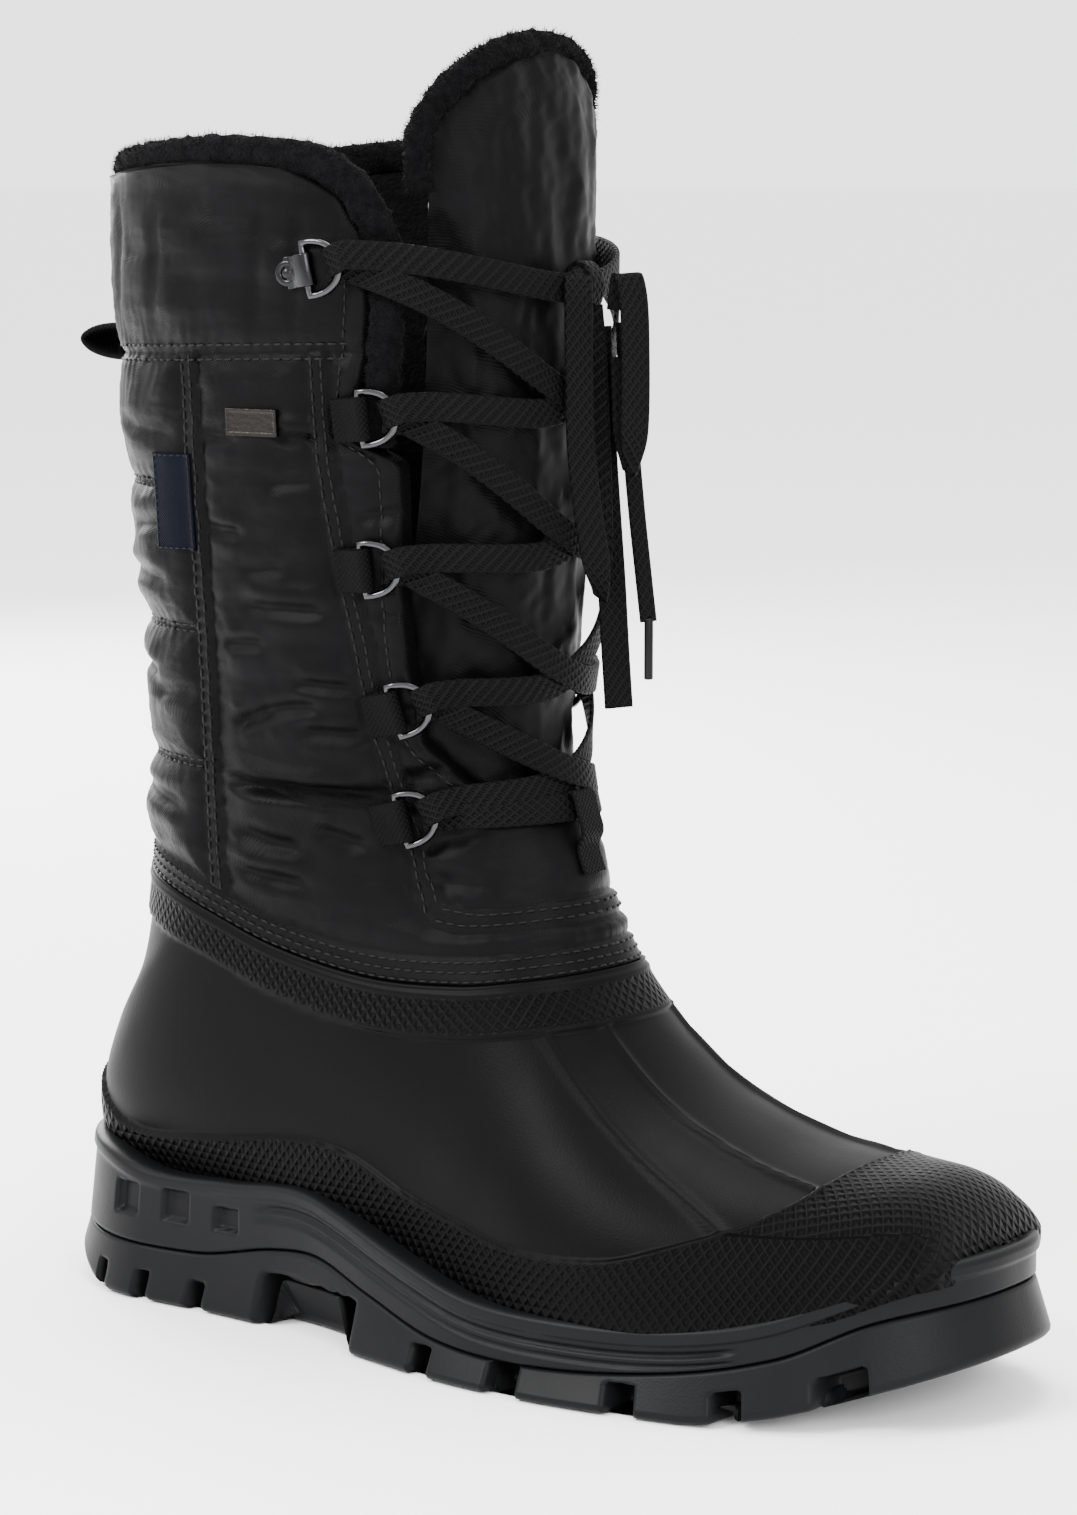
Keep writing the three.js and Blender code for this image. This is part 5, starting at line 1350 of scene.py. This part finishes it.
notchMask = np.maximum.reduce([between(low, high, 0.006) for low, high in sole["notches"]])
waistMask = between(*sole["waist"], 0.02)
outRows = []
for inward in np.linspace(60, 3, 22):
    outRows.append((0.0, 0.0, inward))
levels = [(2.2, 0.0), (3.2, 0.35), (3.9, 1.3), (4.0, 2.4)]
outsoleRows = []
for _, _, inward in outRows:
    row = soleRow(3.0 + 0 * share, treadZ + 0.0, inward)
    lug = np.abs(((row[:, 0] * 0.94 + np.abs(row[:, 1]) * 0.34) / 15.5) % 1 - 0.5) * 2
    centre = (np.abs(row[:, 1] - middleLine[:, 1]) < 2.2) * 1.0
    grooves = np.maximum(1 - soften(lug - 0.22, 0.14), centre)
    arch = between(sole["waist"][0] + 0.012, sole["waist"][1] - 0.012, 0.02)
    row[:, 2] = row[:, 2] + 4.2 * grooves * (1 - arch) + (sole["waistRoof"] - treadZ) * arch
    outsoleRows.append(row)
for grow, lift in levels:
    outsoleRows.append(soleRow(grow + 0 * share, treadZ + lift))
steps = 16
for k in range(1, steps + 1):
    t = k / steps
    height = treadZ + 2.4 + (partZ - treadZ - 2.8) * t
    outsoleRows.append(soleRow(4 * (1 - t) + flare * t, height))
outsoleRows.append(soleRow(flare - 0.7, partZ - 0.15))
outsoleRows.append(soleRow(flare - 3.0, partZ - 0.1))
outsolePoints = np.array(outsoleRows)
# Notches between the side lugs, the waist, and pockets in the heel
level = outsolePoints[..., 2]
roof = treadZ + sole["lugDepth"]
deep = notchMask * (1 - soften(level - roof, 1.5))
deep = np.maximum(deep, waistMask * (1 - soften(level - sole["waistRoof"], 1.5)))
depth = 11.0 * deep
away = unit(outsolePoints[..., :2] - middleLine[None])
wall = (np.arange(len(outsolePoints)) >= len(outRows))[:, None]
outsolePoints[..., :2] -= away * (depth * wall)[..., None]
soleCoords = np.stack(
    [np.repeat(even[None], len(outsolePoints), 0), np.repeat(np.arange(len(outsolePoints))[:, None] * 1.2, len(even), 1)], -1
)
outwardSole = np.concatenate([away, np.zeros(away.shape[:2] + (1,))], -1)
outwardSole[: len(outRows)] = [0, 0, -1]
outsolePiece = gridPiece("outsole_dressed", outsolePoints, soleCoords, outward=outwardSole)
finishPiece(outsolePiece, materials["rubber"], "sole_rubber", "outsole")

midRows = [soleRow(flare - 3, partZ + 0.2), soleRow(flare - 0.6, partZ + 0.3), soleRow(flare, partZ + 0.9)]
wallSteps = 26
grooveOn = between(*sole["groove"], 0.03)
for k in range(1, wallSteps + 1):
    t = k / wallSteps
    height = partZ + 0.9 + (flangeZ - 1.6 - partZ - 0.9) * t
    below = flangeZ - height
    dip = 1.3 * np.exp(-(((below - 7.2) / 0.9) ** 2)) + 0.9 * np.exp(-(((below - 10.2) / 0.8) ** 2))
    lip = 0.8 * soften(5.2 - below, 1.6)
    midRows.append(soleRow(flare * (1 - t) + lip - dip * grooveOn, height))
for grow, drop, inward in [(0.55, 0.9, 0), (0.0, 0.35, 0), (-0.9, 0.05, 0), (-2.4, 0.0, 0), (-2.4, 0.6, 4), (-2.4, 2.0, 9)]:
    midRows.append(soleRow(grow + 0 * share, flangeZ - drop, inward))
midPoints = np.array(midRows)
awayMid = unit(midPoints[..., :2] - middleLine[None])
first, pitch, wide = sole["pockets"]
levelMid = midPoints[..., 2]
windows = np.zeros(levelMid.shape)
for k in range(3):
    inside = between(first + k * pitch, first + k * pitch + wide, 0.004)
    reachUp = [33.5, 33.5, 31][k]
    band = soften(levelMid - 24, 0.8) * soften(reachUp - levelMid, 0.8)
    windows = np.maximum(windows, 2.6 * inside * band)
midPoints[..., :2] -= awayMid * windows[..., None]
outwardMid = np.concatenate([awayMid, np.zeros(awayMid.shape[:2] + (1,))], -1)
midCoords = np.stack(
    [np.repeat(even[None], len(midPoints), 0), np.repeat(np.arange(len(midPoints))[:, None] * 1.0, len(even), 1)], -1
)
midPiece = gridPiece("midsole_dressed", midPoints, midCoords, outward=outwardMid)
finishPiece(midPiece, materials["rubber"], "sole_rubber", "midsole")
print("sole made")

# The tongue: its skin in the throat and its rounded top above the collar
tongue = {"half": 0.8, "roundness": 2.1, "inset": 1.5, "wall": 8.5, "shoulder": 328, "binding": 7, "columns": 110, "rows": 200}
halfWidth = tongue["half"] * boot["halfShaft"]
footZ = float(sharedZ(1.2))
straight = np.linspace(footZ, tongue["shoulder"], tongue["rows"] - 50)[:-1]
turns = np.linspace(0, np.pi / 2, 50)
inset = tongue["binding"] - 1.5
topHalf = (halfWidth - inset) * np.cos(turns) ** (2 / tongue["roundness"])
topZ = tongue["shoulder"] + (boot["tongueHeight"] - inset - tongue["shoulder"]) * np.sin(turns) ** (2 / tongue["roundness"])
lowHalf = np.minimum(halfWidth - inset, np.maximum(throatHalfAt(straight), 6) + 8)
tongueHalf = np.concatenate([lowHalf, topHalf])[:, None]
tongueZ = np.concatenate([straight, topZ])[:, None]
acrossShare = np.linspace(-1, 1, tongue["columns"])[None]
tongueY = tongueHalf * np.sin(acrossShare * np.pi / 2 * 0.98) / math.sin(np.pi / 2 * 0.98)
tongueStation, tongueAngle = frontPlace(tongueY, tongueZ + 0 * tongueY)
tongueNormals = formNormal(tongueStation, tongueAngle)
tongueBase = formPoint(tongueStation, tongueAngle)
edgeGap = tongueHalf - np.abs(tongueY)
below = soften(318 - tongueZ, 12)
tongueRelief = -tongue["inset"] - 1.6 + 1.8 * soften(edgeGap, 8)
tongueRelief = tongueRelief - below * 3.0 * (1 - soften(edgeGap - 4, 6))
tongueRelief = tongueRelief + 0.7 * cloudy(tongueBase * [1, 1.5, 0.45], 26, 21) + 0.2 * cloudy(tongueBase, 9, 22)
tongueRelief = tongueRelief - 0.8 * np.exp(-((tongueY + 13 - 0.06 * (tongueZ - 300)) / 3.4) ** 2) * soften(tongueZ - 300, 20)
tongueRelief = tongueRelief + 0.8 * np.exp(-((tongueY - 12) / 5.0) ** 2) * soften(tongueZ - 300, 20)
tongueSkin = gridPiece("tongue_dressed", tongueBase + tongueNormals * tongueRelief[..., None], outward=tongueNormals)
bpy.ops.object.select_all(action="DESELECT")
bpy.context.view_layer.objects.active = tongueSkin
tongueSkin.select_set(True)
thicken = tongueSkin.modifiers.new("Solidify", "SOLIDIFY")
thicken.thickness = 0.0068
thicken.offset = -1
bpy.ops.object.modifier_apply(modifier="Solidify")
finishPiece(tongueSkin, materials["nylon"], "nylon", "tongue")


# Fleece bindings: rounded rolls with a pile of short fibres
def fleeceRoll(name, path, normals, width, depth, pile, seed):
    turns = np.linspace(0, 2 * np.pi, 23)[:-1]
    around = np.stack([np.sign(np.cos(turns)) * np.abs(np.cos(turns)) ** 0.75 * width / 2,
                       np.sign(np.sin(turns)) * np.abs(np.sin(turns)) ** 0.75 * depth / 2], -1)
    points = sweepPoints(path, normals, around)
    middles = points[:, :-1].mean(1, keepdims=True)
    outwards = unit(points - middles)
    rough = 0.5 * cloudy(points, 5.5, seed) + 0.3 * cloudy(points, 2.6, seed + 1)
    points[1:-1] += outwards[1:-1] * rough[1:-1, :, None]
    points[:, -1] = points[:, 0]
    roll = gridPiece(name, points, outward=outwards)
    numbers = np.random.default_rng(seed)
    rows = numbers.integers(2, len(points) - 3, pile)
    columns = numbers.integers(0, points.shape[1] - 1, pile)
    mix = numbers.uniform(0, 1, (pile, 1))
    roots = points[rows, columns] * (1 - mix) + points[rows + 1, columns + 1] * mix
    lean = unit(outwards[rows, columns] + numbers.normal(0, 0.55, (pile, 3)))
    length = numbers.uniform(0.8, 2.1, (pile, 1))
    aside = unit(np.cross(lean, numbers.normal(size=(pile, 3)))) * 0.13
    spikes = np.stack([roots - aside, roots + aside, roots + lean * length], 1).reshape(-1, 3)
    fibres = meshPiece(name + "Pile", spikes, np.arange(pile * 3).reshape(-1, 3), weld=0, coords=spikes[:, :2])
    return joinPieces(name, [roll, fibres])


collarEdge = []
bindingEnd = float(sharedZ(1.66))
riseSteps = np.linspace(bindingEnd, 318.5, 60)
halves = throatHalfAt(riseSteps) + boot["bindingWidth"] / 2
upStation, upAngle = frontPlace(-halves, riseSteps)
lastAngle = float(upAngle[-1])
roundAngles = np.linspace(lastAngle, 2 * np.pi - lastAngle, 150)[2:-2]
roundStation = stationAt(roundAngles, lambda at: collarRimAt(at) - boot["bindingWidth"] / 2)
pathStation = np.concatenate([upStation, roundStation, upStation[::-1]])
pathAngle = np.concatenate([upAngle, roundAngles, -upAngle[::-1]])
collarPath = offForm(pathStation, pathAngle, np.full(pathStation.shape, -1.6))
for k in range(3):
    collarPath[:, k] = smoothRows(collarPath[:, k], 4)
collarRoll = fleeceRoll("collar_binding_dressed", collarPath, formNormal(pathStation, pathAngle), 9.6, 7.4, 16000, 31)
finishPiece(collarRoll, materials["fleece"], "fleece", "collar_binding")

rimTurns = np.linspace(0, np.pi, 120)
rollInset = tongue["binding"] / 2
cosines = np.cos(rimTurns)
rimY = -(halfWidth - rollInset) * np.sign(cosines) * np.abs(cosines) ** (2 / tongue["roundness"])
rimZ = tongue["shoulder"] + (boot["tongueHeight"] - rollInset - tongue["shoulder"]) * np.sin(rimTurns) ** (2 / tongue["roundness"])
lowZ = np.linspace(318, tongue["shoulder"], 14)[:-1]
rimY = np.concatenate([np.full(13, rimY[0]), rimY, np.full(13, rimY[-1])])
rimZ = np.concatenate([lowZ, rimZ, lowZ[::-1]])
rimStations, rimAngles = frontPlace(rimY, rimZ)
rimPath = offForm(rimStations, rimAngles, np.full(rimY.shape, -tongue["inset"] - tongue["wall"] / 2 + 0.8))
for k in range(3):
    rimPath[:, k] = smoothRows(rimPath[:, k], 3)
tongueRoll = fleeceRoll("tongue_binding_dressed", rimPath, formNormal(rimStations, rimAngles), 7.6, 9.2, 9000, 41)
finishPiece(tongueRoll, materials["fleece"], "fleece", "tongue_binding")
print("tongue and bindings made")

# The keeper over the lowest strand
keeper = {"width": 10, "thickness": 1.1}
keeperRows = np.array([(1.226, 3.2), (1.222, 6.3), (1.197, 6.7), (1.17, 6.4), (1.155, 3.2), (1.125, 2.6)])
keeperStation, keeperAngle = frontPlace(np.zeros(len(keeperRows)), sharedZ(keeperRows[:, 0]))
keeperPath = offForm(keeperStation, keeperAngle, keeperRows[:, 1])
keeperNormals = formNormal(keeperStation, keeperAngle)
lengths = np.r_[0, np.linalg.norm(np.diff(keeperPath, axis=0), axis=1).cumsum()]
finer = np.linspace(0, lengths[-1], 40)
keeperPiece = sweepPiece(
    "lace_keeper_dressed",
    smoothAlong(lengths, keeperPath, finer),
    unit(smoothAlong(lengths, keeperNormals, finer)),
    roundedBar(keeper["width"], keeper["thickness"]),
)
finishPiece(keeperPiece, materials["webbing"], "webbing", "lace_keeper")

# The pull loop behind the collar
loop = {"height": 1.773, "half": 5, "reach": 24, "width": 22, "thickness": 1.6}
loopStation = stationAt(np.array([np.pi]), lambda _: sharedZ(loop["height"]))[0]
loopMiddle = formPoint(loopStation, np.pi)
folds = np.array([(-0.1, 0.95), (0.45, 0.93), (0.8, 0.65), (0.97, 0.1), (0.83, -0.5), (0.5, -0.87), (-0.1, -0.95)])
loopPath = np.stack(
    [
        loopMiddle[0] - boot["quiltStep"] - folds[:, 0] * loop["reach"],
        np.zeros(len(folds)),
        loopMiddle[2] + folds[:, 1] * loop["half"],
    ],
    -1,
)
lengths = np.r_[0, np.linalg.norm(np.diff(loopPath, axis=0), axis=1).cumsum()]
loopPath = smoothAlong(lengths, loopPath, np.linspace(0, lengths[-1], 70))
loopNormals = np.cross(np.gradient(loopPath, axis=0), [0, 1.0, 0])
loopTape = roundedBar(loop["width"], loop["thickness"])
pullLoop = sweepPiece("pull_loop_dressed", loopPath, unit(loopNormals), loopTape)
finishPiece(pullLoop, materials["webbing"], "webbing", "pull_loop")

# The metal plate and the woven label
plate = {"along": 0.319, "height": 1.692, "size": (17, 7.5, 1.6)}
station, angle = sidePlace(-1, float(sharedX(plate["along"])), float(sharedZ(plate["height"])))
platePlace = Place(station, angle)
bpy.ops.object.select_all(action="DESELECT")
bpy.ops.mesh.primitive_cube_add(size=0.001)
platePiece = bpy.context.object
platePiece.scale = plate["size"]
bpy.ops.object.transform_apply(scale=True)
bpy.ops.object.mode_set(mode="EDIT")
bpy.ops.mesh.select_mode(type="FACE")
bpy.ops.mesh.select_all(action="DESELECT")
bpy.ops.object.mode_set(mode="OBJECT")
for face in platePiece.data.polygons:
    face.select = face.normal.z > 0.9
bpy.ops.object.mode_set(mode="EDIT")
bpy.ops.mesh.inset(thickness=0.0008, depth=0)
bpy.ops.mesh.inset(thickness=0.0003, depth=-0.0003)
bpy.ops.object.mode_set(mode="OBJECT")
bpy.ops.object.modifier_add(type="BEVEL")
platePiece.modifiers["Bevel"].width = 0.0003
platePiece.modifiers["Bevel"].segments = 2
bpy.ops.object.modifier_apply(modifier="Bevel")
for vertex in platePiece.data.vertices:
    forward, up, out = np.array(vertex.co) * 1000
    vertex.co = Vector(platePlace.at(forward, up, out + 2.7) / 1000)
platePiece.name = "side_plate_dressed"
finishPiece(platePiece, materials["plateSteel"], "plate_steel", "side_plate")

label = {"along": 0.215, "height": 1.586, "width": 14, "tall": 27, "lift": 0.7}
labelX, labelZ = np.meshgrid(
    float(sharedX(label["along"])) + np.linspace(-0.5, 0.5, 30) * label["width"],
    float(sharedZ(label["height"])) + np.linspace(-0.5, 0.5, 50) * label["tall"],
)
station, angle = sidePlace(-1, labelX, labelZ)
labelBase = formPoint(station, angle).reshape(-1, 3)
labelNormals = formNormal(station, angle).reshape(-1, 3)
labelPoints = ontoSkin(labelBase, labelNormals, shaftTree, label["lift"])[0]
above = ((labelPoints - labelBase) * labelNormals).sum(1).reshape(labelX.shape)
for _ in range(200):  # it hangs straight over the skin's hollows
    above[1:-1] = np.maximum(above[1:-1], (above[:-2] + above[2:]) / 2)
above[:] = np.maximum(above, above.mean(0)[None])
flat = (labelBase + labelNormals * above.reshape(-1, 1)).reshape(labelX.shape + (3,))
for _ in range(6):
    flat[1:-1, 1:-1] = (flat[:-2, 1:-1] + flat[2:, 1:-1] + flat[1:-1, :-2] + flat[1:-1, 2:]) / 4
labelPiece = gridPiece("side_label_dressed", flat, outward=labelNormals.reshape(flat.shape))
thicken = labelPiece.modifiers.new("Solidify", "SOLIDIFY")
thicken.thickness = 0.0009
thicken.offset = -1
bpy.ops.object.select_all(action="DESELECT")
labelPiece.select_set(True)
bpy.context.view_layer.objects.active = labelPiece
bpy.ops.object.modifier_apply(modifier="Solidify")
finishPiece(labelPiece, materials["label"], "label", "side_label")
labelTree = BVHTree.FromObject(labelPiece, bpy.context.evaluated_depsgraph_get())
border = np.concatenate([flat[1, 1:-1], flat[1:-1, -2], flat[-2, 1:-1][::-1], flat[1:-1, 1][::-1]])
borderNormals = labelNormals.reshape(flat.shape)
borderNormals = np.concatenate(
    [borderNormals[1, 1:-1], borderNormals[1:-1, -2], borderNormals[-2, 1:-1][::-1], borderNormals[1:-1, 1][::-1]]
)
sewAlong(border, borderNormals, labelTree, 2.2, 1.5, 0.25)

stitches = meshPiece("shaft_stitches", np.array(stitchPoints), np.array(stitchFaces), weld=0)
finishPiece(stitches, materials["thread"], "nylon")

# The insole keeps its CAD shape
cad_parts["insole"].data.materials.clear()
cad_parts["insole"].data.materials.append(materials["fleece"])
print("trim made")

# The stage and its light
stage = {"floor": 40.0, "world": 2.7}
bpy.ops.object.select_all(action="DESELECT")
bpy.ops.mesh.primitive_circle_add(vertices=96, radius=stage["floor"], fill_type="NGON", location=(0, 0, -0.0004))
floor = bpy.context.object
floor.name = "floor"
floorMaterial = newMaterial("floorPaper", (0.95, 0.95, 0.96), 0.8, specular=0.1)
floor.data.materials.append(floorMaterial)
world = bpy.context.scene.world or bpy.data.worlds.new("studio")
bpy.context.scene.world = world
world.use_nodes = True
world.node_tree.nodes["Background"].inputs["Color"].default_value = (1, 1, 1, 1)
world.node_tree.nodes["Background"].inputs["Strength"].default_value = stage["world"]
lights = [
    {"name": "key", "place": (-0.6, -1.5, 1.5), "size": 0.8, "power": 70},
    {"name": "front", "place": (1.6, -0.9, 0.9), "size": 0.7, "power": 28},
    {"name": "top", "place": (0.1, 0.2, 1.9), "size": 0.9, "power": 40},
    {"name": "back", "place": (-1.3, 0.8, 0.8), "size": 0.8, "power": 40},
]
for light in lights:
    bpy.ops.object.light_add(type="AREA", location=light["place"])
    lamp = bpy.context.object
    lamp.name = light["name"]
    lamp.data.size = light["size"]
    lamp.data.energy = light["power"]
    lamp.rotation_euler = (Vector((0.1, 0, 0.16)) - lamp.location).to_track_quat("-Z", "Y").to_euler()
print("lights placed")
